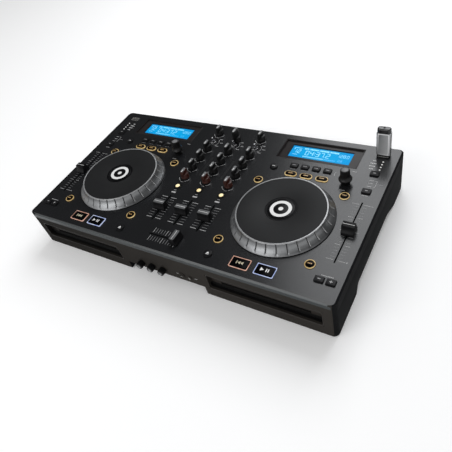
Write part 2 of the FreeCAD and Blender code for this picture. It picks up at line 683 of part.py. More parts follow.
def control_bodies():
    """The potentiometers, encoders, slide tracks and switches under the plate."""
    parts = [slide_pot(*track) for track in fader_tracks()]
    parts += [rotary_pot(name, x, y) for name, x, y in knob_places()]
    parts += [rotary_pot(f"browse_{name}", f"{deck(side)} + browse_x", "browse_y")
              for name, side in SIDES.items()]
    parts += [toggle_switch(column + 2, f"{column} * column_pitch") for column in COLUMNS]
    for name, x in front_knob_places():
        inner = f"({FRONT} + case_wall)"
        pot = cylinder(f"front_pot_case_{name}", "pot_radius", "front_pot_depth",
                       (x, inner, "front_level"), "y")
        bore = cylinder(f"front_pot_bore_{name}", ROD, "front_pot_depth - 1",
                        (x, inner, "front_level"), "y")
        parts.append(cut(f"front_pot_{name}", pot, [bore]))
    return group("control_bodies", parts)


def light_ring(name, radius, inner, at):
    ring = cylinder(f"{name}_rim", radius, "guide_depth + guide_height", at)
    hole = cylinder(f"{name}_hole", inner, "guide_depth + guide_height + 2",
                    (at[0], at[1], f"{at[2]} - 1"))
    return cut(name, ring, [hole])


def light_guides():
    """The clear rings, frames, bars and dots that carry light up through the plate."""
    z = "(plate_top - guide_depth)"
    height = "(guide_depth + guide_height)"
    parts = []
    for name, side in SIDES.items():
        for i, (x, y) in enumerate(loop_places(side)):
            parts.append(light_ring(f"loop_ring_{name}_{i}", "ring_radius",
                                    "ring_radius - ring_width", (x, y, z)))
        for i, (x, y) in enumerate(pill_places(side)):
            rim = pill(f"pill_rim_{name}_{i}", "pill_length", "pill_width", height, (x, y, z))
            hole = pill(f"pill_hole_{name}_{i}", "pill_length - 2 * ring_width",
                        "pill_width - 2 * ring_width", f"{height} + 2", (x, y, f"{z} - 1"))
            parts.append(cut(f"pill_ring_{name}_{i}", rim, [hole]))
        for i, (x, y) in enumerate(play_places(side)):
            rim = box(f"play_rim_{name}_{i}", ("play_length", "play_width", height), (x, y, z))
            hole = box(f"play_hole_{name}_{i}",
                       ("play_length - 2 * frame_width", "play_width - 2 * frame_width",
                        f"{height} + 2"), (x, y, f"{z} - 1"))
            parts.append(cut(f"play_frame_{name}_{i}", rim, [hole]))
        for i in range(4):
            parts.append(cylinder(f"lamp_{name}_{i}", "lamp_radius", height,
                                  (f"{side} * (deck_x + lamp_x)",
                                   f"lamp_first_y + {i} * lamp_pitch", z)))
        parts.append(box(f"meter_{name}", ("meter_width", "meter_length", "guide_depth"),
                         (f"{side} * meter_x", "meter_y", z)))
    for column in COLUMNS:
        parts.append(light_ring(f"phones_ring_{column + 2}", "phones_ring",
                                "phones_radius + sliding_gap",
                                (f"{column} * column_pitch", "phones_y", z)))
    return group("light_guides", parts)


def display_windows():
    """The clear panes under the two display openings."""
    size = ("window_length + 2 * window_overlap", "window_width + 2 * window_overlap",
            "window_thick")
    return group("display_windows", [box(f"window_{name}", size, (
        deck(side), "display_y", f"{PLATE_UNDER} - window_thick"))
        for name, side in SIDES.items()])


def lcd_panels():
    """The display modules between the panes and the deck boards."""
    size = ("lcd_length", "lcd_width", "board_drop - plate_thick - window_thick")
    return group("lcd_panels", [box(f"lcd_{name}", size, (deck(side), "display_y", BOARD_TOP))
                                for name, side in SIDES.items()])


# ---- sockets ----

def usb_socket(name, side):
    x = f"{side} * (deck_x + usb_x)"
    shell = box(f"usb_shell_{name}", ("usb_shell_length", "usb_shell_width",
                                      f"plate_top + usb_lip - {BOARD_TOP}"),
                (x, "usb_y", BOARD_TOP))
    cavity = box(f"usb_cavity_{name}",
                 ("usb_plug_length + 2 * sliding_gap", "usb_plug_width + 2 * sliding_gap",
                  "board_drop + 2 * usb_lip"), (x, "usb_y", f"{BOARD_TOP} + usb_lip"))
    return cut(f"usb_socket_{name}", shell, [cavity])


def round_jack(name, x, bore, nut):
    """A front jack with its nut outside the wall and its barrel inside."""
    ring = cylinder(f"{name}_nut", nut, "jack_reach", (x, f"{FRONT} - jack_reach", "front_level"), "y")
    barrel = cylinder(f"{name}_barrel", f"{bore} + jack_wall", "jack_length",
                      (x, FRONT, "front_level"), "y")
    hole = cylinder(f"{name}_hole", bore, "jack_length",
                    (x, f"{FRONT} - jack_reach", "front_level"), "y")
    return cut(name, union(f"{name}_solid", [ring, barrel]), [hole])


def rca_jack(i, x, z):
    flange = cylinder(f"rca_flange_{i}", "rca_flange", "rca_flange_thick", (x, REAR, z), "y")
    barrel = cylinder(f"rca_barrel_{i}", "rca_barrel", "rear_reach + rca_tail",
                      (x, f"{REAR} - rca_tail", z), "y")
    hole = cylinder(f"rca_hole_{i}", "rca_bore", "rca_depth",
                    (x, f"{REAR} + rear_reach - rca_depth", z), "y")
    return cut(f"rca_{i}", union(f"rca_solid_{i}", [flange, barrel]), [hole])


def rear_socket(name, cavity_length, cavity_height, contacts):
    """A four-sided socket that stands a lip proud of the rear wall."""
    x, z, length, height = rear_blocks()[name]
    middle = f"{REAR} + rear_lip - inlet_depth / 2"
    block = box(f"{name}_block", (length, "inlet_depth", height),
                (x, middle, f"{z} - ({height}) / 2"))
    cavity = box(f"{name}_cavity", (cavity_length, "inlet_depth", cavity_height),
                 (x, f"{middle} + inlet_wall", f"{z} - ({cavity_height}) / 2"))
    return union(f"{name}_socket", [cut(f"{name}_shell", block, [cavity])] + contacts)


def connector_sockets():
    """The drive sockets, the front jacks, the rear jacks and the power socket."""
    back = f"({REAR} + rear_lip - inlet_depth + inlet_wall)"
    pins = [box(f"inlet_pin_{i + 1}", ("pin_thick", "pin_length", "pin_width"),
                (f"inlet_x + {i} * pin_pitch", f"{back} + pin_length / 2",
                 "inlet_level - pin_width / 2")) for i in (-1, 0, 1)]
    tongue = box("link_tongue", ("link_cavity_length / 2", "pin_length / 2", "pin_thick"),
                 ("link_x", f"{back} + pin_length / 4", "inlet_level - pin_thick / 2"))
    x, z, length, height = rear_blocks()["rocker"]
    frame = box("rocker_frame_block", (length, "inlet_depth / 2", height),
                (x, f"{REAR} + rear_lip - inlet_depth / 4", f"{z} - {height} / 2"))
    gap = box("rocker_frame_gap", (f"{length} - 2 * rocker_wall", "inlet_depth",
                                   f"{height} - 2 * rocker_wall"),
              (x, REAR, f"{z} - {height} / 2 + rocker_wall"))
    parts = [usb_socket(name, side) for name, side in SIDES.items()]
    parts += [round_jack("phones_jack", "phones_jack_x", "phones_jack_bore", "jack_nut_radius"),
              round_jack("mini_jack", "mini_jack_x", "mini_jack_bore", "mini_nut_radius")]
    parts += [rca_jack(i, x, z) for i, (x, z) in enumerate(rca_places())]
    parts += [rear_socket("inlet", "inlet_length - 2 * inlet_wall",
                          "inlet_height - 2 * inlet_wall", pins),
              rear_socket("link", "link_cavity_length", "link_cavity_height", [tongue]),
              cut("rocker_frame", frame, [gap])]
    return group("connector_sockets", parts)


# ---- moving pieces ----

def jog_bearings():
    """The posts that the jog wheels turn on."""
    posts = []
    for name, side in SIDES.items():
        flange = cylinder(f"post_flange_{name}", "post_flange_radius", "post_flange_thick",
                          (deck(side), "jog_y", "plate_top"))
        post = cylinder(f"post_rod_{name}", "post_radius", "post_height + post_tail",
                        (deck(side), "jog_y", "plate_top - post_tail"))
        posts.append(union(f"post_{name}", [flange, post]))
    return group("jog_bearings", posts)


def jog_wheel(name, side):
    """The flared wheel: rim, skirt and hub in one, hollow underneath."""
    roof = "(jog_height - touch_thick - touch_drop)"
    inner = "(jog_rim_radius - jog_rim_width)"
    bore = "(post_radius + running_gap)"
    outline = [
        ("0", roof), ("0", "post_height + wheel_gap"), (bore, "post_height + wheel_gap"),
        (bore, "post_flange_thick + wheel_gap"),
        (f"{bore} + hub_wall", "post_flange_thick + wheel_gap"),
        (f"{bore} + hub_wall", f"{roof} - jog_wall"), (f"{inner} - jog_wall", f"{roof} - jog_wall"),
        ("jog_rim_radius - 0.2 * jog_wall", "0.48 * jog_height"),
        ("jog_radius - 2 * jog_wall", "jog_lift + 0.4 * jog_wall"),
        ("jog_radius - 1.4 * jog_wall", "jog_lift"), ("jog_radius", "jog_lift"),
        ("jog_radius", "jog_lift + 0.4 * jog_wall"),
        ("jog_radius - 0.4 * (jog_radius - jog_rim_radius)", "0.38 * jog_height"),
        ("jog_rim_radius + 0.2 * (jog_radius - jog_rim_radius)", "0.68 * jog_height"),
        ("jog_rim_radius", "jog_height"), (inner, "jog_height"), (inner, roof)]
    return turned(name, outline, (deck(side), "jog_y", "plate_top"))


def touch_plate(name, side):
    """The flat top that is pressed and stroked, with a ring groove round its middle."""
    base = "(jog_height - touch_thick - touch_drop)"
    top = "(jog_height - touch_drop)"
    edge = "(jog_rim_radius - jog_rim_width)"
    outline = [("0", base), (edge, base), (edge, top), ("hub_ring_radius", top),
               ("hub_ring_radius", f"{top} - hub_ring_depth"),
               ("hub_disc_radius", f"{top} - hub_ring_depth"), ("hub_disc_radius", top),
               ("0", top)]
    return turned(name, outline, (deck(side), "jog_y", "plate_top"))


def shaft(name, x, y):
    return cylinder(name, "shaft_radius", "shaft_depth + cap_gap",
                    (x, y, "plate_top - shaft_depth"))


def mixer_knob(name, x, y, height, fin_length):
    """A round knob with a raised fin to turn it by."""
    body = taper(f"{name}_body", ("knob_radius", "0.94 * knob_radius"), "knob_body - cap_gap",
                 (x, y, "plate_top + cap_gap"))
    fin = box(f"{name}_fin", ("fin_width", fin_length, f"{height} - knob_body / 2"),
              (x, y, "plate_top + knob_body / 2"))
    return union(name, [body, fin, shaft(f"{name}_shaft", x, y)])


def browse_knob(name, side):
    """The tall flared knob that scrolls the track list."""
    outline = [("0", "-shaft_depth"), ("shaft_radius", "-shaft_depth"),
               ("shaft_radius", "cap_gap"), ("browse_neck", "cap_gap"),
               ("browse_neck", "0.45 * browse_flare_level"),
               ("browse_flare", "0.85 * browse_flare_level"),
               ("browse_flare", "1.15 * browse_flare_level"),
               ("browse_top + 0.9", "1.7 * browse_flare_level"),
               ("browse_top", "browse_height"), ("0", "browse_height")]
    return turned(name, outline, (f"{deck(side)} + browse_x", "browse_y", "plate_top"))


def front_knob(name, x):
    face = f"({FRONT} - front_knob_reach)"
    grip = cylinder(f"{name}_grip", "front_knob_radius", "front_knob_reach - cap_gap",
                    (x, face, "front_level"), "y")
    rod = cylinder(f"{name}_rod", "shaft_radius",
                   "front_knob_reach + case_wall + front_pot_depth - 2",
                   (x, face, "front_level"), "y")
    return union(name, [grip, rod])


def toggle_lever(name, x):
    """A bat lever, thicker at its tip, that rocks in the switch's bushing."""
    foot = cylinder(f"{name}_foot", "0.8 * lever_radius", "lever_pivot + switch_drop",
                    (x, "switch_y", "plate_top - switch_drop"))
    ball = doc.addObject("Part::Sphere", f"{name}_ball")
    put(bind(ball, Radius="lever_ball"), x, "switch_y", "plate_top + lever_pivot")
    bat = taper(f"{name}_bat", ("lever_radius", "lever_tip_radius"), "lever_height - lever_pivot",
                (x, "switch_y", "plate_top + lever_pivot"))
    return union(name, [foot, ball, bat])


def fader_cap(name, x, y, direction, sizes):
    """A saddle-shaped cap on the blade that reaches down into its track."""
    length, width, top, height = sizes
    plane = "YZ_Plane" if direction == "y" else "XZ_Plane"
    outline = [(f"-({width}) / 2", "cap_gap"), (f"({width}) / 2", "cap_gap"),
               (f"({width}) / 2", f"0.25 * {height}"), (f"({top}) / 2 + 0.6", f"0.6 * {height}"),
               (f"({top}) / 2", height), (f"-({top}) / 2", height),
               (f"-({top}) / 2 - 0.6", f"0.6 * {height}"), (f"-({width}) / 2", f"0.25 * {height}")]
    block = prism(f"{name}_block", plane, outline, length, (x, y, "plate_top"))
    long, thick = along(direction, "stem_width", "stem_thick")
    stem = box(f"{name}_stem", (long, thick, "stem_depth + 2 * cap_gap"),
               (x, y, "plate_top - stem_depth"))
    return union(name, [block, stem])


def button_block(name, length, width, height, at):
    return box(name, (length, width, f"button_depth + {height}"),
               (at[0], at[1], "plate_top - button_depth"))


def deck_buttons(name, side):
    """All the plain and ringed buttons of a deck but cue and play."""
    parts = []
    for i, (x, y, length, width) in enumerate(square_buttons(side)):
        parts.append(button_block(f"{name}_square_{i}", length, width, "button_height", (x, y)))
    base = "plate_top - button_depth"
    height = "button_depth + button_height"
    for i, (x, y, radius) in enumerate(round_buttons(side)):
        parts.append(cylinder(f"{name}_round_{i}", radius, height, (x, y, base)))
    inset = "(ring_width + sliding_gap)"
    for i, (x, y) in enumerate(loop_places(side)):
        parts.append(cylinder(f"{name}_loop_{i}", f"ring_radius - {inset}", height, (x, y, base)))
    for i, (x, y) in enumerate(pill_places(side)):
        parts.append(pill(f"{name}_pill_{i}", f"(pill_length - 2 * {inset})",
                          f"(pill_width - 2 * {inset})", height, (x, y, base)))
    return group(name, parts)


def play_button(name, x, y):
    inset = "(frame_width + sliding_gap)"
    return button_block(name, f"play_length - 2 * {inset}", f"play_width - 2 * {inset}",
                        "play_height", (x, y))


def phones_cue_buttons():
    return group("phones_cue_buttons", [
        cylinder(f"phones_button_{column + 2}", "phones_radius", "button_depth + button_height",
                 (f"{column} * column_pitch", "phones_y", "plate_top - button_depth"))
        for column in COLUMNS])


def usb_flash_drive():
    """The drive stick that stands in the right-hand socket."""
    x = "(deck_x + usb_x)"
    base = "(plate_top + usb_lip + sliding_gap)"
    body = rounded_slab("stick_body", "stick_length", "stick_width",
                        f"plate_top + stick_height - {base}", "stick_round",
                        (x, "usb_y", base))
    plug = box("stick_plug", ("usb_plug_length", "usb_plug_width", "usb_plug_depth + 1"),
               (x, "usb_y", f"{base} - usb_plug_depth"))
    return union("usb_flash_drive", [body, plug])


def power_rocker():
    """The rear power rocker, its lower half pressed out at rest."""
    half = "(rocker_height / 2)"
    outline = [("-rocker_depth", "-rocker_back"), ("rocker_raised", f"-{half}"),
               ("rocker_dip", "0"), ("rocker_flush", half),
               ("rocker_flush - rocker_nose", half), ("-rocker_depth", "rocker_back")]
    return prism("power_rocker", "YZ_Plane", outline, "rocker_length",
                 ("rocker_x", f"{REAR} - rocker_wall", "inlet_level"))


# ---- the assembly ----

def build():
    parts = [top_plate(), upper_case(), bottom_case(), rubber_feet(), case_screws(),
             slot_bezels(), disc_drives(), circuit_boards(), control_bodies(), light_guides(),
             display_windows(), lcd_panels(), connector_sockets(), jog_bearings()]
    pitch_cap = ("pitch_cap_length", "pitch_cap_width", "pitch_cap_top", "pitch_cap_height")
    line_cap = ("cap_length", "cap_width", "cap_top", "cap_height")
    for name, side in SIDES.items():
        cue, play = play_places(side)
        parts += [jog_wheel(f"jog_wheel_{name}", side), touch_plate(f"touch_plate_{name}", side),
                  disc_spindle(f"disc_spindle_{name}", side),
                  feed_roller(f"feed_roller_{name}", side),
                  browse_knob(f"browse_knob_{name}", side),
                  deck_buttons(f"deck_buttons_{name}", side),
                  play_button(f"cue_button_{name}", *cue),
                  play_button(f"play_button_{name}", *play),
                  fader_cap(f"pitch_fader_cap_{name}", f"{side} * (deck_x + pitch_x)",
                            "pitch_fader_y", "y", pitch_cap)]
    for column in COLUMNS:
        x = f"{column} * column_pitch"
        parts += [fader_cap(f"channel_fader_cap_{column + 2}", x, "fader_y", "y", line_cap),
                  toggle_lever(f"source_switch_lever_{column + 2}", x)]
    parts.append(fader_cap("crossfader_cap", "fader_travel / 2", "cross_y", "x",
                           ("cap_length", "cap_width", "cap_top", "cap_height")))
    for name, x, y in knob_places():
        tall = name == "microphone_knob"
        parts.append(mixer_knob(name, x, y, "selector_height" if tall else "knob_height",
                                "selector_fin_length" if tall else "fin_length"))
    parts += [front_knob(name, x) for name, x in front_knob_places()]
    parts += [phones_cue_buttons(), usb_flash_drive(), power_rocker()]
    return parts


def check(parts):
    """Stop if any object failed, or any sub-part is empty or not valid."""
    failed = [obj.Name for obj in doc.Objects
              if {"Invalid", "Error"} & set(obj.State)]
    failed += [part.Name for part in parts if part.Shape.isNull() or not part.Shape.isValid()]
    if failed:
        raise RuntimeError(f"failed: {', '.join(failed)}")


def export(parts):
    os.makedirs("parts", exist_ok=True)
    for part in parts:
        part.Label = part.Name
        part.Shape.exportStep(f"parts/{part.Label}.step")
        solids = len(part.Shape.Solids)
        print(f"{part.Label}: {solids} solid(s), {part.Shape.Volume / 1000:.2f} cm3")


PARTS = build()
doc.recompute()
check(PARTS)
export(PARTS)
print(len(PARTS), "sub-parts")
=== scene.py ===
import json
import math
import bpy
import bmesh
from mathutils import Matrix, Vector


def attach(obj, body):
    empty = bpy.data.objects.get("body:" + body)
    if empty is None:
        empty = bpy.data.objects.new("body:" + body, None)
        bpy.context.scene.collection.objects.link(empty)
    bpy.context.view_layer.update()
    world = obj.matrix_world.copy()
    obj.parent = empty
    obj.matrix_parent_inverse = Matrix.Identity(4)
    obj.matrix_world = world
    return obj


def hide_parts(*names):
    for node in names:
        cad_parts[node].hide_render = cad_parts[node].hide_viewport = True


# A two-deck disc and USB console for a DJ, dressed over its CAD frame. X runs to the right, Y to
# the back and Z up, with the origin on the table under the middle of the case. Shapes are built in
# millimetres and scaled to metres when they are finished, and materials work in metres.
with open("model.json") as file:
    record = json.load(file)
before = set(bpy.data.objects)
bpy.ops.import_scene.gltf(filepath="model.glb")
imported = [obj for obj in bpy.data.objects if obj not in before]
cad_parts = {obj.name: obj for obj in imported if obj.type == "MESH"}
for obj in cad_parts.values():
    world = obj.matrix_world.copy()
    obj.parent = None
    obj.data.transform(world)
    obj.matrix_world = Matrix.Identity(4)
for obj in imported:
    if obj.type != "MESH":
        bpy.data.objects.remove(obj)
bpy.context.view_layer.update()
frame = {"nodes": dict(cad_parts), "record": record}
nodes = frame["nodes"]


# ---- the studio ----
# A white sweep under a large softbox, which hangs high behind the console, and a smaller, weaker
# one at the front left, with an even fill. The camera looks down over the front right corner.

camera_data = bpy.data.cameras.new("camera")
camera_data.sensor_width = 36
camera_data.lens = 36.872
camera_data.shift_x = -0.0034
camera_data.shift_y = 0.0120
camera_data.clip_end = 50
camera = bpy.data.objects.new("camera", camera_data)
bpy.context.scene.collection.objects.link(camera)
camera_right = Vector((0.8546272, 0.47268507, -0.21489805))
camera_up = Vector((-0.22465527, 0.70973507, 0.66768716))
camera_back = camera_right.cross(camera_up)
camera_turn = Matrix((camera_right, camera_up, camera_back)).transposed()
camera.matrix_world = Matrix.Translation((0.38545, -0.41420, 0.52772)) @ camera_turn.to_4x4()
bpy.context.scene.camera = camera
bpy.context.scene.view_settings.view_transform = "Standard"


def softbox(name, place, aim, width, height, power, colour=(1, 1, 1)):
    """A rectangular lamp of that many metres and watts, turned to face its aim."""
    data = bpy.data.lights.new(name, "AREA")
    data.shape = "RECTANGLE"
    data.size, data.size_y = width, height
    data.energy = power
    data.color = colour
    lamp = bpy.data.objects.new(name, data)
    lamp.location = place
    lamp.rotation_euler = (Vector(aim) - Vector(place)).to_track_quat("-Z", "Y").to_euler()
    bpy.context.scene.collection.objects.link(lamp)


softbox("rear_softbox", (0.09, 1.25, 1.46), (0.18, -0.02, 0.07), 1.2, 1.4, 21,
        (0.965, 0.98, 1.0))
softbox("front_softbox", (-0.45, -1.48, 1.05), (0.0, -0.05, 0.07), 1.4, 0.9, 9.6)


class Wire:
    """One output in a tree of shader nodes. Arithmetic on wires adds Math nodes."""

    def __init__(self, bench, socket):
        self.bench, self.socket = bench, socket

    def _math(self, operation, *values):
        node = self.bench.node("Math", {"operation": operation}, dict(enumerate(values)))
        return Wire(self.bench, node.outputs[0])

    def __add__(self, other):
        return self._math("ADD", self, other)

    def __radd__(self, other):
        return self._math("ADD", other, self)

    def __sub__(self, other):
        return self._math("SUBTRACT", self, other)

    def __rsub__(self, other):
        return self._math("SUBTRACT", other, self)

    def __mul__(self, other):
        return self._math("MULTIPLY", self, other)

    def __rmul__(self, other):
        return self._math("MULTIPLY", other, self)

    def __pow__(self, other):
        return self._math("POWER", self, other)

    def __gt__(self, other):
        return self._math("GREATER_THAN", self, other)

    def __lt__(self, other):
        return self._math("LESS_THAN", self, other)

    def __abs__(self):
        return self._math("ABSOLUTE", self)

    def sine(self):
        return self._math("SINE", self)

    def or_else(self, other):
        return self._math("MAXIMUM", self, other)


class Bench:
    """A tree of shader nodes being wired up."""

    def __init__(self, tree):
        self.tree = tree

    def join(self, value, slot):
        """Lead a wire or an output into a slot, or set the slot to a plain value."""
        if isinstance(value, Wire):
            value = value.socket
        if isinstance(value, bpy.types.NodeSocket):
            self.tree.links.new(value, slot)
        elif slot.type == "RGBA":
            slot.default_value = (*value, 1)[:4]
        else:
            slot.default_value = value

    def node(self, kind, settings=None, sockets=None):
        """A node of that kind, with its settings made first and then its sockets fed."""
        node = self.tree.nodes.new("ShaderNode" + kind)
        for name, value in (settings or {}).items():
            setattr(node, name, value)
        for name, value in (sockets or {}).items():
            self.join(value, node.inputs[name])
        return node

    def rays(self, kind):
        """1 for rays of that kind, such as those straight from the camera, and 0 for others."""
        return Wire(self, self.node("LightPath").outputs[f"Is {kind} Ray"])

    def parts(self, vector):
        """The three wires along X, Y and Z of a vector."""
        split = self.node("SeparateXYZ", sockets={"Vector": vector})
        return [Wire(self, output) for output in split.outputs]

    def ramp(self, value, low, high, start=0.0, end=1.0):
        """From start to end while the value goes from low to high, and held outside them."""
        node = self.node("MapRange", {"clamp": True}, {
            "Value": value, "From Min": low, "From Max": high, "To Min": start, "To Max": end})
        return Wire(self, node.outputs[0])


class Finish(Bench):
    """A material under construction. A pattern on it reads its place in the console."""

    def __init__(self, name, **fixed):
        self.material = bpy.data.materials.new(name)
        self.material.use_nodes = True
        super().__init__(self.material.node_tree)
        self.shader = self.tree.nodes["Principled BSDF"]
        self.place = self.node("TexCoord").outputs["Object"]
        self.feed(**fixed)

    def feed(self, **values):
        """Join values to the shader's sockets, which are named with _ for a space."""
        for name, value in values.items():
            self.join(value, self.shader.inputs[name.replace("_", " ")])

    def axes(self):
        """The place in the console along X, Y and Z, in metres."""
        return self.parts(self.place)

    def noise(self, size, detail=2.0, stretch=(1, 1, 1)):
        """Noise whose cells are about that many metres across, from 0 to 1."""
        place = self.node("Mapping", sockets={"Vector": self.place, "Scale": stretch}).outputs[0]
        node = self.node("TexNoise", sockets={"Vector": place, "Scale": 1 / size,
                                              "Detail": detail, "Roughness": 0.55})
        return Wire(self, node.outputs["Fac"])

    def mix(self, factor, first, second):
        """The first colour where the factor is 0 and the second where it is 1."""
        node = self.node("Mix", {"data_type": "RGBA"}, {0: factor, 6: first, 7: second})
        return Wire(self, node.outputs[2])

    def bump(self, height, depth, strength=1.0):
        """Relief of that depth in metres where height runs from 0 to 1."""
        node = self.node("Bump", sockets={"Strength": strength, "Distance": depth,
                                          "Height": height})
        self.feed(Normal=node.outputs[0])


sweep = Finish("white_sweep", Roughness=0.9, Specular_IOR_Level=0.0)
seen_directly = sweep.rays("Camera")
sweep.feed(Base_Color=sweep.mix(seen_directly, (0.80, 0.80, 0.80), (0.97, 0.97, 0.97)))
glow = sweep.node("Emission", sockets={"Color": (1, 1, 1), "Strength": seen_directly * 0.11})
both = sweep.node("AddShader", sockets={0: sweep.shader.outputs[0], 1: glow.outputs[0]})
sweep.join(both.outputs[0], sweep.tree.nodes["Material Output"].inputs["Surface"])
floor_mesh = bpy.data.meshes.new("floor")
floor_mesh.materials.append(sweep.material)
floor_bm = bmesh.new()
bmesh.ops.create_grid(floor_bm, x_segments=1, y_segments=1, size=6)
floor_bm.to_mesh(floor_mesh)
floor_bm.free()
floor = bpy.data.objects.new("floor", floor_mesh)
bpy.context.scene.collection.objects.link(floor)

# The world is white to the camera and through clear pieces, and plain fill on everything else. A
# reflection sees white near the horizon, which fades out higher up, so that level glossy faces
# stay dark.
world = bpy.data.worlds.new("studio")
world.use_nodes = True
bpy.context.scene.world = world
sky = Bench(world.node_tree)
across, forward, upward = sky.parts(sky.node("TexCoord").outputs["Generated"])
horizon = sky.ramp(forward * 0.45 + upward, 0.20, 0.42, 1.0, 0.05)
fill, mirror, white = (sky.node("Background", sockets={"Color": (1, 1, 1), "Strength": strength})
                       for strength in (0.46, horizon, 1.0))
lighting = sky.node("MixShader", sockets={0: sky.rays("Glossy"), 1: fill.outputs[0],
                                          2: mirror.outputs[0]})
shown = sky.rays("Camera").or_else(sky.rays("Transmission"))
scenery = sky.node("MixShader", sockets={0: shown, 1: lighting.outputs[0], 2: white.outputs[0]})
sky.join(scenery.outputs[0], sky.tree.nodes["World Output"].inputs[0])


# ---- the top plate ----
# One folded sheet of steel, 2.5 mm thick with its holes, powder coated in a fine satin charcoal.
# It drops into the case and folds down over the front as a bevelled lip.


def dressed(node, finish):
    """Give a CAD node its finish in place of the plain one it came with."""
    nodes[node].data.materials.clear()
    nodes[node].data.materials.append(finish.material)


LIP_BACK = -0.1425
coat = Finish("charcoal_powder_coat", Specular_IOR_Level=0.5)
grain = coat.noise(0.00035, 3.0)
cloud = coat.noise(0.055, 2.0)
# The folded lip down the front is coloured a lighter, bluish grey than the top: painted reflection.
lip = coat.axes()[1] < LIP_BACK
coat_tone = coat.mix(cloud, (0.0082, 0.0086, 0.0096), (0.0112, 0.0117, 0.0129))
coat.feed(Base_Color=coat.mix(lip, coat_tone, (0.023, 0.031, 0.034)),
          Roughness=0.215 + 0.06 * grain + 0.03 * cloud)
coat.bump(grain, 0.00002, 0.4)
dressed("top_plate", coat)


# ---- the jog wheels ----
# Flared wheels of injection-moulded plastic under silver paint, each turning on a steel post.
# Thirty finger grooves run down the skirt, and the rim is polished where it meets the top.

DECKS = {"left": -146.45, "right": 146.45}
TOP = 70.0
WHEEL_Y = -30.3
RIM_INSIDE, SKIRT, WHEEL_HEIGHT = 61.7, 73.3, 15.65
GROOVES, GROOVE_DEPTH, GROOVE_LOW, GROOVE_HIGH = 30, 1.0, 3.6, 14.2
GROOVE_PITCH = 360 // GROOVES


def joined_to(start):
    """Every vertex of the shape that these vertices belong to."""
    found, reached = set(start), list(start)
    while reached:
        for edge in reached.pop().link_edges:
            for vert in edge.verts:
                if vert not in found:
                    found.add(vert)
                    reached.append(vert)
    return list(found)


def turned(bm, outline, place, steps=96, material=0):
    """A turned shape from pairs of radius and height, moved to its place."""
    verts = [bm.verts.new((r, 0, z)) for r, z in outline]
    edges = [bm.edges.new(pair) for pair in zip(verts, verts[1:])]
    bmesh.ops.spin(bm, geom=verts + edges, cent=(0, 0, 0), axis=(0, 0, 1),
                   angle=2 * math.pi, steps=steps, use_merge=True)
    verts = joined_to(verts)
    bmesh.ops.remove_doubles(bm, verts=verts, dist=1e-4)
    verts = [v for v in verts if v.is_valid]
    bmesh.ops.translate(bm, vec=place, verts=verts)
    for face in {f for v in verts for f in v.link_faces}:
        face.material_index = material
    return verts


def finished(name, bm, finishes, body, replaced=(), smooth=38):
    """Scale a shape to metres and make it a piece that rides on a body."""
    bmesh.ops.scale(bm, vec=(0.001, 0.001, 0.001), verts=bm.verts)
    bmesh.ops.recalc_face_normals(bm, faces=bm.faces)
    mesh = bpy.data.meshes.new(name)
    bm.to_mesh(mesh)
    bm.free()
    mesh.shade_smooth()
    mesh.set_sharp_from_angle(angle=math.radians(smooth))
    for finish in finishes:
        mesh.materials.append(finish.material)
    piece = bpy.data.objects.new(name, mesh)
    bpy.context.scene.collection.objects.link(piece)
    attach(piece, body)
    if replaced:
        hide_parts(*replaced)


def worn(name, cells, dark, light, smoothest, spread, relief=0.0, **fixed):
    """A finish whose colour and shine vary together, in cells that many metres across."""
    finish = Finish(name, **fixed)
    wear = finish.noise(cells, 3.0)
    finish.feed(Base_Color=finish.mix(wear, dark, light), Roughness=smoothest + spread * wear)
    if relief:
        finish.bump(wear, relief, 0.4)
    return finish


silver = Finish("silver_wheel_paint", Metallic=0.86, Specular_IOR_Level=0.5)
flake = silver.noise(0.0004, 2.0)
smear = silver.noise(0.012, 3.0, (1, 1, 2.5))
streak = silver.noise(0.0011, 1.0, (1, 1, 0.05))
# The paint darkens towards the foot of the skirt, where it meets the plate: painted shade.
foot_shade = silver.ramp(silver.axes()[2], 0.0716, 0.0760, 1.0, 0.0)
upper_tone = silver.mix(0.5 * smear + 0.5 * streak, (0.18, 0.185, 0.19), (0.31, 0.317, 0.324))
silver.feed(Base_Color=silver.mix(0.45 * foot_shade, upper_tone, (0.10, 0.10, 0.105)),
            Roughness=0.28 + 0.12 * smear + 0.05 * flake)
silver.bump(flake, 0.00002, 0.5)
rim_polish_and_highlight = worn("polished_rim_and_groove_highlight", 0.004, (0.36, 0.365, 0.37), (0.46, 0.465, 0.47), 0.40, 0.14,
              0.00001, Metallic=0.6)
groove_shade = worn("shaded_groove", 0.003, (0.035, 0.036, 0.038), (0.075, 0.076, 0.078), 0.5, 0.2,
             Metallic=0.4)
WHEEL_FINISHES = (silver, rim_polish_and_highlight, groove_shade)
SILVER, RIM_AND_HIGHLIGHT, GROOVE_SHADE = range(len(WHEEL_FINISHES))

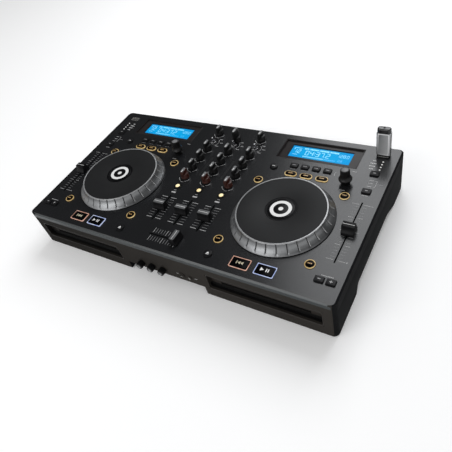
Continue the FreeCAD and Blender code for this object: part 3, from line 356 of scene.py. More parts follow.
flare = [(63.75, 15.05), (64.15, 14.3), (64.35, 13.7), (64.8, 12.4), (65.7, 10.6), (67.0, 8.6),
         (68.5, 6.8), (70.1, 5.15), (70.6, 4.6), (71.4, 3.9), (72.6, 2.6), (SKIRT, 1.7),
         (SKIRT, 0.9), (SKIRT - 0.3, 0.6)]
crown = [(RIM_INSIDE, 13.2), (RIM_INSIDE, 15.35), (62.0, WHEEL_HEIGHT), (62.9, WHEEL_HEIGHT),
         (63.45, 15.45)]
underside = [(70.6, 0.6), (68.4, 2.7), (62.6, 8.0), (60.2, 11.4), (60.2, 13.2),
             (RIM_INSIDE, 13.2)]
for side, deck_x in DECKS.items():
    bm = bmesh.new()
    wheel = turned(bm, crown + flare + underside, (0, 0, 0), steps=360)
    # One degree of skirt stands to each step. Of every twelve, the first two sink into a groove,
    # and their neighbours close in on it so that its walls are steep.
    for vert in wheel:
        radius = math.hypot(vert.co.x, vert.co.y)
        bearing = math.degrees(math.atan2(vert.co.y, vert.co.x))
        step = round(bearing) % GROOVE_PITCH
        if GROOVE_LOW - 0.6 < vert.co.z < GROOVE_HIGH + 0.2 and radius > 63.9:
            radius -= GROOVE_DEPTH * (step < 2)
            bearing += {GROOVE_PITCH - 1: 0.7, 2: -0.4}.get(step, 0)
            vert.co.x = radius * math.cos(math.radians(bearing))
            vert.co.y = radius * math.sin(math.radians(bearing))
    # The floor of each groove takes the dark groove finish: painted shade.
    for face in bm.faces:
        middle = face.calc_center_median()
        step = math.degrees(math.atan2(middle.y, middle.x)) % GROOVE_PITCH
        outside = math.hypot(middle.x, middle.y) > max(62.0, 73.0 - 1.05 * middle.z)
        grooved = outside and GROOVE_LOW < middle.z < GROOVE_HIGH
        # The rim's top takes the polished finish, and so does the wall on each groove's right,
        # where it is a painted highlight.
        if middle.z > 15.1 or (grooved and 1 < step < 1.6):
            face.material_index = RIM_AND_HIGHLIGHT
        else:
            face.material_index = GROOVE_SHADE if grooved and step < 1 else SILVER
    bmesh.ops.translate(bm, vec=(deck_x, WHEEL_Y, TOP), verts=wheel)
    finished(f"grooved_jog_wheel_{side}", bm, WHEEL_FINISHES, f"jog_{side}",
             (f"jog_wheel_{side}",), 25)


# ---- the touch plates ----
# A pressed aluminium disc in matte charcoal tops each wheel and senses the hand. Its glossy hub
# sits in a ring groove and carries a plain printed ring, which shows the wheel's turning.

HUB_OUTSIDE, HUB, HUB_TOP = 22.5, 19.0, 15.4
DISC_FACE, HUB_FACE, HUB_PRINT = range(3)
touch_black = worn("satin_hub_black", 0.006, (0.0035, 0.0035, 0.004), (0.006, 0.006, 0.007),
                   0.24, 0.12, Specular_IOR_Level=0.10)
print_white = worn("white_print", 0.0012, (0.74, 0.74, 0.73), (0.86, 0.86, 0.85), 0.42, 0.2)


def band(inner, outer, low, high):
    """The closed outline of a plain ring, or of a disc where its inner radius is 0."""
    return [(inner, low), (outer, low), (outer, high), (inner, high), (inner, low)]


for side, deck_x in DECKS.items():
    touch = Finish(f"matte_touch_plate_{side}", Metallic=0.1, Specular_IOR_Level=0.19)
    x, y, z = touch.axes()
    across, along = x - deck_x / 1000, y - WHEEL_Y / 1000
    reach = (across * across + along * along) ** 0.5
    lathe = (reach * 5200.0).sine() * 0.5 + 0.5
    speck = touch.noise(0.0005, 2.0)
    stroked = touch.noise(0.03, 2.0)
    touch.feed(Base_Color=touch.mix(stroked, (0.0118, 0.0121, 0.0128), (0.0180, 0.0183, 0.0190)),
               Roughness=0.46 + 0.08 * speck + 0.06 * stroked)
    touch.bump(0.6 * lathe + 0.4 * speck, 0.000012, 0.5)
    bm = bmesh.new()
    turned(bm, [(0, 13.3), (60.9, 13.3), (61.6, 13.5), (61.6, 15.1), (61.3, 15.36), (60.6, 15.42),
                (HUB_OUTSIDE + 0.5, 15.42), (HUB_OUTSIDE, 15.2), (HUB_OUTSIDE - 0.3, 14.7),
                (HUB + 0.25, 14.6), (HUB, 14.8), (HUB, 15.2), (HUB - 0.4, HUB_TOP), (0, HUB_TOP)],
           (deck_x, WHEEL_Y, TOP), steps=144)
    for face in bm.faces:
        middle = face.calc_center_median()
        inside = math.hypot(middle.x - deck_x, middle.y - WHEEL_Y) < HUB_OUTSIDE
        face.material_index = HUB_FACE if inside and middle.z > TOP + 14 else DISC_FACE
    for inner, outer in ((10.4, 15.2), (0, 3.4)):
        turned(bm, band(inner, outer, HUB_TOP - 0.01, HUB_TOP + 0.05), (deck_x, WHEEL_Y, TOP),
               material=HUB_PRINT)
    finished(f"touch_disc_{side}", bm, (touch, touch_black, print_white), f"jog_{side}",
             (f"touch_plate_{side}",), 30)


# ---- the mixer's knobs ----
# Moulded knobs pushed onto the shafts of potentiometers. Each has a round skirt and a raised
# fin to turn it by, topped with a light grey insert and its pointer line.

COLUMNS = (-40.4, 0.0, 40.4)
KNOB_ROWS = {"bass": 4.8, "mid": 29.23, "treble": 53.66, "gain": 78.09}
TOP_KNOBS = {"booth_knob": (COLUMNS[0], 121.3, 15.5, 13.4),
             "microphone_knob": (COLUMNS[1], 109.8, 23.0, 16.5),
             "master_knob": (COLUMNS[2], 121.3, 15.5, 13.4)}
BODY, INSERT, POINTER = range(3)


def rounded(bm, edges, radius, segments=2):
    """Round these edges and return every vertex of the shape that they belong to."""
    made = bmesh.ops.bevel(bm, geom=edges, offset=radius, offset_type="OFFSET", affect="EDGES",
                           segments=segments, profile=0.5, material=-1, clamp_overlap=True)
    return joined_to(made["verts"])


def block(bm, size, place, edge=0.0, segments=2, corners=0.0, material=0, lean=(1, 1)):
    """A box centred on its place in X and Y and standing on its Z, narrowed upwards by lean."""
    verts = bmesh.ops.create_cube(bm, size=1.0)["verts"]
    bmesh.ops.scale(bm, vec=size, verts=verts)
    if corners:
        upright = {e for v in verts for e in v.link_edges
                   if abs(e.verts[0].co.z - e.verts[1].co.z) > 1e-5}
        verts = rounded(bm, list(upright), corners, 5)
    for vert in verts:
        if vert.co.z > 0:
            vert.co.x, vert.co.y = vert.co.x * lean[0], vert.co.y * lean[1]
    if edge:
        sharp = {e for v in verts for e in v.link_edges
                 if len(e.link_faces) == 2 and e.calc_face_angle() > math.radians(50)}
        verts = rounded(bm, list(sharp), edge, segments)
    bmesh.ops.translate(bm, vec=(place[0], place[1], place[2] + size[2] / 2), verts=verts)
    for face in {f for v in verts for f in v.link_faces}:
        face.material_index = material
    return verts


def moulded(name, dark, light, low=0.34, high=0.50, texture=0.00045, shine=0.45):
    """Injection-moulded plastic: a fine sparked grain, with the colour a little uneven."""
    finish = Finish(name, Specular_IOR_Level=shine)
    spark = finish.noise(texture, 3.0)
    handled = finish.noise(0.006, 3.0)
    finish.feed(Base_Color=finish.mix(handled, dark, light),
                Roughness=finish.ramp(0.5 * spark + 0.5 * handled, 0.25, 0.75, low, high))
    finish.bump(spark, 0.00003, 0.45)
    return finish


knob_black = moulded("black_knob_plastic", (0.003, 0.003, 0.0032), (0.007, 0.007, 0.0075),
                     0.26, 0.42, shine=0.28)
knob_red = moulded("dark_red_knob_plastic", (0.030, 0.0075, 0.005), (0.055, 0.013, 0.008),
                   0.22, 0.36)
knob_grey = moulded("grey_knob_insert", (0.14, 0.143, 0.147), (0.21, 0.214, 0.218), 0.30, 0.45,
                    shine=0.3)


def mixer_knob(name, x, y, height, fin_length, finish):
    """Skirt, fin, insert, pointer line and the stem below, from the plate up."""
    bm = bmesh.new()
    turned(bm, [(0, 0.5), (6.35, 0.5), (6.8, 0.95), (6.72, 2.2), (6.55, 2.45), (6.5, 8.1),
                (6.1, 8.8), (5.3, 9.0), (0, 9.0)], (x, y, TOP), steps=48)
    block(bm, (6.8, fin_length, height - 5.2), (x, y, TOP + 4.5), 0.7, 3, 2.4, BODY,
          (0.84, 0.94))
    block(bm, (4.3, fin_length * 0.80, 0.75), (x, y, TOP + height - 0.78), 0.22, 2, 1.6, INSERT)
    block(bm, (0.9, fin_length * 0.40, 0.1), (x, y - fin_length * 0.19, TOP + height - 0.1),
          material=POINTER)
    turned(bm, [(0, -8.0), (2.7, -8.0), (3.0, -7.6), (3.0, 0.6), (0, 0.6)], (x, y, TOP), steps=32)
    finished(f"finned_{name}", bm, (finish, knob_grey, print_white), name, (name,), 40)


for row, y in KNOB_ROWS.items():
    finish, slot = (knob_red, "knob_red") if row == "bass" else (knob_black, "knob_black")
    for column, x in enumerate(COLUMNS, start=1):
        mixer_knob(f"{row}_knob_{column}", x, y, 15.5, 13.4, finish)
for name, (x, y, height, fin_length) in TOP_KNOBS.items():
    mixer_knob(name, x, y, height, fin_length, knob_black)


# ---- the browse knobs ----
# A tall flared knob on each deck's push encoder, with a ribbed grip and a light disc let into
# its top. It turns without end.

BROWSE_OFFSET, BROWSE_Y = 59.5, 56.0
RIB_ANGLE, RIB_DEPTH, RIBS_LOW, RIBS_HIGH = 3.75, 0.35, 15.5, 24.2
for side, deck_x in DECKS.items():
    bm = bmesh.new()
    place = (deck_x + BROWSE_OFFSET, BROWSE_Y, TOP)
    knob = turned(bm, [(0, -8.0), (3.0, -8.0), (3.0, 0.5), (6.2, 0.5), (6.6, 0.9), (6.6, 3.6),
                       (7.1, 4.6), (8.4, 6.2), (9.3, 7.2), (9.65, 8.1), (9.65, 9.3), (9.2, 10.1),
                       (8.2, 11.6), (7.4, 13.2), (7.0, 14.8), (6.95, 16.4), (6.55, 23.6),
                       (6.2, 24.8), (5.6, 25.2), (4.9, 25.2), (4.8, 24.9), (0, 24.9)], place)
    for vert in knob:
        away = Vector((vert.co.x - place[0], vert.co.y - place[1]))
        step = round(math.degrees(math.atan2(away.y, away.x)) / RIB_ANGLE)
        if RIBS_LOW < vert.co.z - TOP < RIBS_HIGH and away.length > 6 and step % 4 in (0, 1):
            vert.co.x -= away.x / away.length * RIB_DEPTH
            vert.co.y -= away.y / away.length * RIB_DEPTH
    turned(bm, [(0, 24.88), (4.7, 24.88), (4.7, 25.1), (4.4, 25.28), (0, 25.3)], place,
           48, INSERT)
    finished(f"ribbed_browse_knob_{side}", bm, (knob_black, knob_grey), f"browse_{side}",
             (f"browse_knob_{side}",), 32)


# ---- the front knobs ----
# Three small knobs on the front wall, for the headphones' mix and level and the crossfader's
# curve. Each is a knurled cylinder with a marked grey face.

FRONT = -144.25
FRONT_ROW_Z = 30.0
FRONT_KNOBS = {"phones_mix_knob": -38.0, "phones_level_knob": -18.0, "fader_curve_knob": 2.0}
KNURL_ANGLE, KNURL_DEPTH = 5, 0.32


def swung(bm, verts, angle, axis, place):
    """Turn these vertices about an axis through the origin and carry them to their place."""
    bmesh.ops.rotate(bm, cent=(0, 0, 0), matrix=Matrix.Rotation(angle, 3, axis), verts=verts)
    bmesh.ops.translate(bm, vec=place, verts=verts)


for name, x in FRONT_KNOBS.items():
    bm = bmesh.new()
    grip = turned(bm, [(0, 9.5), (4.9, 9.5), (5.35, 9.1), (5.35, 8.2), (5.5, 7.9), (5.5, 3.4),
                       (5.35, 2.0), (5.15, 0.7), (4.6, 0.1), (3.9, 0.0), (3.8, 0.15), (0, 0.15)],
                  (0, 0, 0), steps=72)
    for vert in grip:
        radius = math.hypot(vert.co.x, vert.co.y)
        step = round(math.degrees(math.atan2(vert.co.y, vert.co.x)) / KNURL_ANGLE)
        if 0.6 < vert.co.z < 8 and radius > 5 and step % 3 == 0:
            vert.co.x *= 1 - KNURL_DEPTH / radius
            vert.co.y *= 1 - KNURL_DEPTH / radius
    turned(bm, [(0, 0.05), (3.7, 0.05), (3.75, 0.3), (0, 0.3)], (0, 0, 0), 48, INSERT)
    block(bm, (0.9, 3.4, 0.1), (0, 2.0, 0), material=POINTER)
    turned(bm, [(0, 9.4), (3.0, 9.4), (3.0, 19.9), (0, 19.9)], (0, 0, 0), steps=32)
    swung(bm, bm.verts, -math.pi / 2, "X", (x, FRONT - 10.0, FRONT_ROW_Z))
    finished(f"knurled_{name}", bm, (knob_black, knob_grey, print_white), name, (name,),
             32)


# ---- the faders ----
# Saddle-shaped caps pushed onto the blades of the slide potentiometers. The channel faders and
# the crossfader carry flat grey finger pads, and the pitch caps are ribbed and all black.

PITCH_OFFSET, PITCH_Y = 93.8, -29.4
CHANNEL_Y, CROSS_X, CROSS_Y = -65.6, 22.5, -117.1
PITCH_CAP, MIXER_CAP = (17, 17, 9, 13.6), (20, 16, 8, 13)
CAP, PAD, LINE = range(3)
cap_black = moulded("black_fader_cap", (0.005, 0.005, 0.0055), (0.009, 0.009, 0.010), 0.32, 0.46,
                    shine=0.12)
cap_grey = moulded("grey_finger_pad", (0.078, 0.080, 0.083), (0.112, 0.115, 0.118), 0.34, 0.5,
                   shine=0.35)


def prism(bm, corners, move):
    """A flat outline drawn out along a move, as every vertex of the shape."""
    face = bm.faces.new([bm.verts.new(corner) for corner in corners])
    made = bmesh.ops.extrude_face_region(bm, geom=[face])
    far = [item for item in made["geom"] if isinstance(item, bmesh.types.BMVert)]
    bmesh.ops.translate(bm, vec=move, verts=far)
    return list(face.verts) + far


def fader_cap(name, place, turn, size, body, ribbed):
    """A cap built along X and turned to its track, with its blade reaching down the slot. Its
    size is its length, the width of its skirt and of its top, and its height."""
    bm = bmesh.new()
    length, width, top, height = size
    skirt = width / 2 if ribbed else 0.38 * width
    flank = [(skirt, 0.5), (skirt, 0.24 * height), (skirt - 0.35, 0.29 * height)]
    for step in range(1, 7):
        share = step / 7
        flank.append((skirt - 0.35 + (top / 2 + 0.6 - skirt) * (1 - (1 - share) ** 2.4),
                      (0.29 + 0.62 * share) * height))
    flank.append((top / 2, height - 0.3))
    outline = flank + [(-across, z) for across, z in flank[::-1]]
    prism(bm, [(-length / 2, across, z) for across, z in outline], (length, 0, 0))
    ends = [e for e in bm.edges if abs(e.verts[0].co.x - e.verts[1].co.x) < 1e-5]
    rounded(bm, ends, 0.5, 2)
    if ribbed:
        for step in range(-3, 4):
            rib = (length - 2.0, 0.55, 0.32) if step else (length - 1.2, 0.6, 0.36)
            block(bm, rib, (0, step * 1.15, height - 0.4), 0.1, 1, material=CAP if step else LINE)
    else:
        block(bm, (length - 1.6, top - 0.3, 0.5), (0, 0, height - 0.5), 0.18, 2, 1.0, PAD)
        block(bm, (length - 3.4, 0.6, 0.05), (0, 0, height - 0.04), material=LINE)
    block(bm, (6.0, 1.2, 8.5), (0, 0, -7.5))
    swung(bm, bm.verts, turn, "Z", (*place, TOP))
    finished(f"saddle_{name}", bm, (cap_black, cap_grey, print_white), body, (name,), 30)


for side, deck_x in DECKS.items():
    fader_cap(f"pitch_fader_cap_{side}", (deck_x + math.copysign(PITCH_OFFSET, deck_x), PITCH_Y),
              0, PITCH_CAP, f"pitch_{side}", True)
for column, x in enumerate(COLUMNS, start=1):
    fader_cap(f"channel_fader_cap_{column}", (x, CHANNEL_Y), 0, MIXER_CAP, f"channel_{column}",
              False)
fader_cap("crossfader_cap", (CROSS_X, CROSS_Y), math.pi / 2, MIXER_CAP, "crossfader",
          False)


# ---- the source levers ----
# Chromed bat levers that rock in the threaded bushings of three miniature toggle switches. A
# hexagon nut clamps each bushing to the plate.

SWITCH_Y = 97.5
chrome = worn("polished_chrome", 0.0016, (0.70, 0.70, 0.72), (0.84, 0.84, 0.86), 0.07, 0.12,
              0.000008, Metallic=1.0)
for column, x in enumerate(COLUMNS, start=1):
    bm = bmesh.new()
    turned(bm, [(0, -3.0), (0.8, -3.0), (0.88, -0.5), (1.5, -0.1), (1.85, 0.5), (2.0, 1.2),
                (1.85, 1.9), (1.5, 2.5), (1.12, 2.75), (1.15, 4.0), (1.3, 6.5), (1.5, 8.7),
                (1.42, 9.4), (1.05, 9.85), (0, 10.0)], (x, SWITCH_Y, TOP), steps=32)
    finished(f"bat_lever_{column}", bm, (chrome,), f"source_{column}",
             (f"source_switch_lever_{column}",), 60)
    bm = bmesh.new()
    turned(bm, [(2.35, 3.55), (2.9, 3.5), (3.0, 3.2), (2.8, 2.9), (3.0, 2.6), (2.8, 2.3),
                (3.0, 2.0), (3.4, 1.9), (5.2, 1.85), (5.35, 1.6), (5.35, 0.35), (5.2, 0.05),
                (3.0, 0.05), (2.6, 0.3), (2.35, 3.55)], (x, SWITCH_Y, TOP), steps=6)
    finished(f"switch_nut_{column}", bm, (chrome,), "console", (), 20)


# ---- the light guides ----
# Acrylic rings and frames pushed up through the plate and lit from the boards below: amber round
# the ringed keys, orange round cue and blue round play. Near-black bands beside each lit ring are
# painted shade for the gaps round it, and the meters' smoked lenses and the status lamps belong to
# the guides.

LOOPS = [(x, y) for x in (-67.05, 67.05) for y in (30.0, -95.5)]
PILLS, PILL_STRETCH = [(x, 54.5) for x in (-24.5, 0.0, 24.5)], 9.0
CUE_X, PLAY_X, PLAY_Y, FRAME_STRETCH = -18.2, 18.2, -123.5, 10.0
PHONES_Y = -18.0
METERS, METER_Y, METER_FOOT, METER_PITCH = (-20.2, 20.2), 37.5, 17.0, 3.72
LAMP_OFFSET, LAMP_Y, LAMP_PITCH, LAMPS = 95.85, 94.0, 6.0, 4
GUIDE_FOOT = -3.2


def stretched(verts, centre, length):
    """Pull the two halves of a shape apart in X, so that a ring becomes a long ring."""
    for vert in verts:
        if abs(vert.co.x - centre) > 1e-4:
            vert.co.x += math.copysign(length / 2, vert.co.x - centre)
    return verts


def lit(name, deep, pale, strength, base=(0.02, 0.012, 0.004)):
    """Acrylic that glows unevenly, paler over its lamps."""
    finish = Finish(name, Base_Color=base, Emission_Strength=strength)
    lamp = finish.noise(0.007, 1.0)
    scratch = finish.noise(0.0008, 2.0)
    finish.feed(Emission_Color=finish.mix(finish.ramp(lamp, 0.3, 0.72), deep, pale),
                Roughness=0.22 + 0.2 * scratch)
    return finish


amber = lit("amber_light", (0.42, 0.27, 0.09), (0.74, 0.56, 0.27), 0.95)
cue_glow = lit("orange_light", (0.56, 0.28, 0.20), (0.84, 0.54, 0.44), 0.9)
play_glow = lit("blue_light", (0.32, 0.42, 0.80), (0.70, 0.78, 1.0), 0.9)
smoked_black_and_recess_shade = moulded("smoked_lens_and_recess_shade", (0.006, 0.006, 0.007), (0.010, 0.010, 0.011), 0.30, 0.45,
                 shine=0.3)
unlit = moulded("unlit_lamp", (0.014, 0.015, 0.014), (0.026, 0.028, 0.026), 0.35, 0.5, shine=0.2)
black_edge_and_gap_shade = moulded("unlit_edge_and_gap_shade", (0.005, 0.005, 0.005), (0.009, 0.009, 0.009), 0.3, 0.45,
                     shine=0.15)
white_lamp = lit("white_lamp", (0.48, 0.48, 0.46), (0.70, 0.70, 0.67), 0.9, (0.2, 0.2, 0.2))
GUIDE_FINISHES = (amber, cue_glow, play_glow, smoked_black_and_recess_shade, unlit, black_edge_and_gap_shade, white_lamp)
AMBER, ORANGE, BLUE, SMOKED, UNLIT, GAP_SHADE, WHITE = range(len(GUIDE_FINISHES))

bm = bmesh.new()
for deck_x in DECKS.values():
    for x, y in LOOPS:
        place = (deck_x + x, y, TOP)
        turned(bm, [(6.2, GUIDE_FOOT), (6.95, GUIDE_FOOT), (6.95, 1.2), (6.8, 1.42), (6.3, 1.5),
                    (6.2, 1.32), (6.2, GUIDE_FOOT)], place, 48, AMBER)
        # Near-black bands inside and outside the lit ring: painted shade of the gaps.
        turned(bm, band(5.6, 6.19, GUIDE_FOOT, 0.2), place, 48, GAP_SHADE)
        turned(bm, band(6.96, 7.3, GUIDE_FOOT, 0.2), place, 48, GAP_SHADE)
    for x, y in PILLS:
        for inner, outer, rise, material in ((3.8, 4.14, 0.1, GAP_SHADE), (4.15, 5.0, 1.5, AMBER),
                                             (5.01, 5.5, 0.1, GAP_SHADE)):
            ring = turned(bm, [(inner, GUIDE_FOOT), (outer, GUIDE_FOOT), (outer, rise - 0.1),
                               (outer - 0.1, rise), (inner + 0.1, rise), (inner, rise - 0.1),
                               (inner, GUIDE_FOOT)], (deck_x + x, y, TOP), 48, material)
            stretched(ring, deck_x + x, PILL_STRETCH)
    for x, glowing in ((CUE_X, ORANGE), (PLAY_X, BLUE)):
        for inner, outer, rise, material in ((7.55, 7.94, 0.1, GAP_SHADE), (7.95, 8.55, 1.3, glowing),
                                             (8.56, 9.0, 0.1, GAP_SHADE)):
            square = band(math.sqrt(2) * inner, math.sqrt(2) * outer, GUIDE_FOOT, rise)
            ring = turned(bm, square, (0, 0, 0), 4, material)
            swung(bm, ring, math.pi / 4, "Z", (0, 0, 0))
            stretched(ring, 0, FRAME_STRETCH)
            upright = {e for v in ring for e in v.link_edges
                       if abs(e.verts[0].co.x) - abs(e.verts[1].co.x) < 1e-3
                       and abs(e.verts[0].co.z - e.verts[1].co.z) > 1}
            ring = rounded(bm, list(upright), 1.4, 3)
            bmesh.ops.translate(bm, vec=(deck_x + x, PLAY_Y, TOP), verts=ring)
    lamp_x = deck_x + math.copysign(LAMP_OFFSET, deck_x)
    for i in range(LAMPS):
        turned(bm, [(0, GUIDE_FOOT), (1.2, GUIDE_FOOT), (1.2, 0.1), (0.95, 0.42), (0.5, 0.58),
                    (0, 0.6)], (lamp_x, LAMP_Y + i * LAMP_PITCH, TOP), 20, WHITE)
for x in METERS:
    block(bm, (4.0, 46.0, -GUIDE_FOOT), (x, METER_Y, TOP + GUIDE_FOOT), 0.12, 1, material=SMOKED)
    block(bm, (5.0, 47.0, 0.035), (x, METER_Y, TOP + 0.002), 0.01, 1, material=SMOKED)
    for i in range(12):
        wide = 1.35 if i == 0 else 0.95
        turned(bm, [(0, -0.01), (wide, -0.01), (wide, 0.05), (wide - 0.3, 0.14), (0, 0.16)],
               (x, METER_FOOT + i * METER_PITCH, TOP), 16, UNLIT)
for x in COLUMNS:
    turned(bm, [(5.3, GUIDE_FOOT), (6.5, GUIDE_FOOT), (6.5, 0.25), (6.3, 0.5), (5.5, 0.6),
                (5.3, 0.35), (5.3, GUIDE_FOOT)], (x, PHONES_Y, TOP), 48, GAP_SHADE)
finished("lit_rings_and_frames", bm, GUIDE_FINISHES, "console", ("light_guides",),
         40)


# ---- the buttons ----
# Moulded keys that press on switches on the boards. Most are satin black with a small printed
# or lit sign; cue and play are glossy, and the headphone buttons are lit through.

KEY_DROP, KEY_RISE, BIG_KEY_RISE = 4.4, 2.5, 2.0
KEY_FOOT, KEY_TOP, BIG_KEY_TOP = TOP - KEY_DROP, TOP + KEY_RISE, TOP + BIG_KEY_RISE
TRACK_KEYS = [((i - 1.5) * 17.7, 73.0) for i in range(4)]
COLUMN_X, SOURCE_Y, RANGE_Y = 92.2, 83.5, 46.3
BEND_X, BEND_Y, BEND_GAP = 93.55, -113.5, 15.0
MODE_X, MODE_Y = -56.45, 63.5
EJECT_X = 67.65
key_black = moulded("satin_key_black", (0.004, 0.004, 0.005), (0.008, 0.008, 0.009), 0.34, 0.5,
                    shine=0.18)
sign_grey = moulded("grey_print", (0.36, 0.36, 0.36), (0.48, 0.48, 0.48), 0.4, 0.55)
amber_sign = lit("amber_sign", (0.55, 0.30, 0.09), (0.80, 0.56, 0.27), 0.75)
key_gloss = moulded("gloss_key_black", (0.0012, 0.0012, 0.0014), (0.0028, 0.0028, 0.0032),
                    0.12, 0.2, shine=0.03)
cream_sign = lit("cream_sign", (0.42, 0.38, 0.26), (0.62, 0.57, 0.43), 0.85)
cream = lit("cream_lit_button", (0.84, 0.62, 0.26), (0.98, 0.84, 0.52), 0.95, (0.3, 0.26, 0.16))
KEY_FINISHES = (key_black, sign_grey, print_white, amber_sign, key_gloss)
SATIN, GREY, PALE, GLOWING, GLOSS = range(len(KEY_FINISHES))


def sign(bm, outline, place, level, material, thick=0.05):
    """A flat printed shape from its corner points in the plan."""
    verts = prism(bm, [(place[0] + x, place[1] + y, level) for x, y in outline], (0, 0, thick))
    for face in {f for v in verts for f in v.link_faces}:
        face.material_index = material


def bar(length, width, x=0.0, y=0.0):
    """The corners of a bar round a point."""
    return [(x - length / 2, y - width / 2), (x + length / 2, y - width / 2),
            (x + length / 2, y + width / 2), (x - length / 2, y + width / 2)]


def printed_line(bm, length, height, place, level, material):
    """A row of small dashes that stands where a short caption would be."""
    count = max(2, round(length / 2.1))
    step = length / count
    for i in range(count):
        sign(bm, bar(step * 0.72, height, (i + 0.5) * step - length / 2), place, level, material)


for side, deck_x in DECKS.items():
    out = math.copysign(1, deck_x)
    bm = bmesh.new()
    slower = (deck_x + out * BEND_X - BEND_GAP / 2, BEND_Y)
    faster = (deck_x + out * BEND_X + BEND_GAP / 2, BEND_Y)
    tracks = [(deck_x + x, y) for x, y in TRACK_KEYS]
    for x, y in tracks + [slower, faster]:
        block(bm, (12.0, 8.5, KEY_DROP + KEY_RISE), (x, y, KEY_FOOT), 0.55, 3, 1.1, SATIN)
    for y in (SOURCE_Y, RANGE_Y):
        place = (deck_x + out * COLUMN_X, y)
        block(bm, (12.5, 9.0, KEY_DROP + KEY_RISE), (*place, KEY_FOOT), 0.55, 3, 1.1, SATIN)
        sign(bm, bar(3.6, 1.0), place, KEY_TOP, GREY)
    for place in tracks:
        printed_line(bm, 5.6, 1.0, place, KEY_TOP, GREY)
    sign(bm, bar(3.8, 0.9), slower, KEY_TOP, GREY)
    sign(bm, bar(3.8, 0.9), faster, KEY_TOP, GREY)
    for half in (-1, 1):
        sign(bm, bar(0.9, 1.45, 0, half * 1.175), faster, KEY_TOP, GREY)
    round_key = [(0, -KEY_DROP), (5.9, -KEY_DROP), (6.0, 1.6), (5.7, 2.25), (5.1, KEY_RISE),
                 (0, KEY_RISE)]
    mode = (deck_x + MODE_X, MODE_Y)
    turned(bm, round_key, (*mode, TOP), 48, SATIN)
    printed_line(bm, 5.0, 1.2, mode, KEY_TOP, PALE)
    eject = (deck_x - out * EJECT_X, PLAY_Y)
    turned(bm, round_key, (*eject, TOP), 48, SATIN)
    sign(bm, [(-2.3, -0.5), (2.3, -0.5), (0, 2.4)], eject, KEY_TOP, PALE)
    sign(bm, bar(4.6, 0.9, 0, -1.7), eject, KEY_TOP, PALE)
    for x, y in LOOPS:
        turned(bm, [(0, -KEY_DROP), (5.2, -KEY_DROP), (5.3, 1.7), (5.0, 2.3), (4.5, KEY_RISE),
                    (0, KEY_RISE)], (deck_x + x, y, TOP), 48, GLOSS)
        printed_line(bm, 6.2, 1.5, (deck_x + x, y), KEY_TOP, GLOWING)
    for x, y in PILLS:
        block(bm, (16.0, 7.0, KEY_DROP + KEY_RISE), (deck_x + x, y, KEY_FOOT), 0.4, 3, 3.45, GLOSS)
        printed_line(bm, 7.4, 1.7, (deck_x + x, y), KEY_TOP, GLOWING)
    finished(f"black_keys_{side}", bm, KEY_FINISHES, f"buttons_{side}", (f"deck_buttons_{side}",),
             40)

    # The cue key carries a track sign, a bar with two arrowheads, and the play key an arrowhead
    # and two bars for play and pause.
    cue_signs = [bar(1.3, 5.0, -4.3), [(-3.0, 0), (1.0, -2.5), (1.0, 2.5)],
                 [(1.2, 0), (5.2, -2.5), (5.2, 2.5)]]
    play_signs = [[(-6.2, -2.7), (-1.2, 0), (-6.2, 2.7)], bar(1.5, 5.0, 2.2), bar(1.5, 5.0, 5.0)]
    for kind, x, signs, material in (("cue", CUE_X, cue_signs, 1), ("play", PLAY_X, play_signs, 2)):
        bm = bmesh.new()
        centre = (deck_x + x, PLAY_Y)
        block(bm, (24.5, 14.5, KEY_DROP + BIG_KEY_RISE), (*centre, KEY_FOOT), 0.5, 3, 0.9)
        for outline in signs:
            sign(bm, outline, centre, BIG_KEY_TOP, material)
        finished(f"gloss_{kind}_key_{side}", bm, (key_gloss, cream_sign, print_white),
                 f"{kind}_{side}", (f"{kind}_button_{side}",), 40)

LIT_FACE, BLACK_EDGE = range(2)
bm = bmesh.new()
for x in COLUMNS:
    turned(bm, [(3.55, -KEY_DROP), (4.9, -KEY_DROP), (5.0, 1.0), (4.8, 1.5), (4.2, 1.85),
                (3.55, 1.9), (3.55, -KEY_DROP)], (x, PHONES_Y, TOP), 48, BLACK_EDGE)
    turned(bm, [(0, -4.0), (3.5, -4.0), (3.5, 1.9), (3.2, 2.25), (2.3, 2.45), (0, KEY_RISE)],
           (x, PHONES_Y, TOP), 48, LIT_FACE)
finished("lit_phones_buttons", bm, (cream, black_edge_and_gap_shade), "phones_cue", ("phones_cue_buttons",),
         50)


# ---- the displays ----
# A blue-lit liquid crystal panel on each deck, behind a clear pane whose border is printed black
# from below. The segments show numbers and plain bars only.

WINDOW_Y, VIEW_Y, VIEW_LENGTH, VIEW_HEIGHT = 110.75, 111.0, 98.0, 27.0
LCD_FOOT, LCD_TOP, PANE_STEP = 57.6, 65.8, 0.068
SEGMENTS = {"0": "abcdef", "1": "bc", "2": "abged", "3": "abgcd", "4": "fgbc", "5": "afgcd",
            "6": "afgedc", "7": "abc", "8": "abcdefg", "9": "abcdfg"}
segment = lit("display_segment", (0.16, 0.66, 0.93), (0.34, 0.80, 1.0), 1.0, (0.1, 0.3, 0.4))
faint = lit("display_faint", (0.02, 0.46, 0.90), (0.05, 0.54, 0.96), 1.0, (0.02, 0.15, 0.3))
SHOWN, FAINT = 1, 2


def number(bm, text, x, y, height, material):
    """Seven-segment digits from their lower left corner, with narrow colons and dots."""
    half, thick, wide = height / 2, height * 0.13, height * 0.5
    bars = {"a": bar(wide, thick, wide / 2, height), "g": bar(wide, thick, wide / 2, half),
            "d": bar(wide, thick, wide / 2, 0), "f": bar(thick, half * 0.8, 0, half * 1.5),
            "b": bar(thick, half * 0.8, wide, half * 1.5), "e": bar(thick, half * 0.8, 0, half / 2),
            "c": bar(thick, half * 0.8, wide, half / 2)}
    for letter in text:
        if letter == ":":
            for share in (0.3, 0.7):
                sign(bm, bar(thick, thick, 0, height * share), (x, y), LCD_TOP, material)
            x += wide * 0.55
        elif letter == ".":
            sign(bm, bar(thick, thick), (x - wide * 0.1, y), LCD_TOP, material)
            x += wide * 0.35
        else:
            for name in SEGMENTS[letter]:
                sign(bm, bars[name], (x, y), LCD_TOP, material)
            x += wide * 1.55


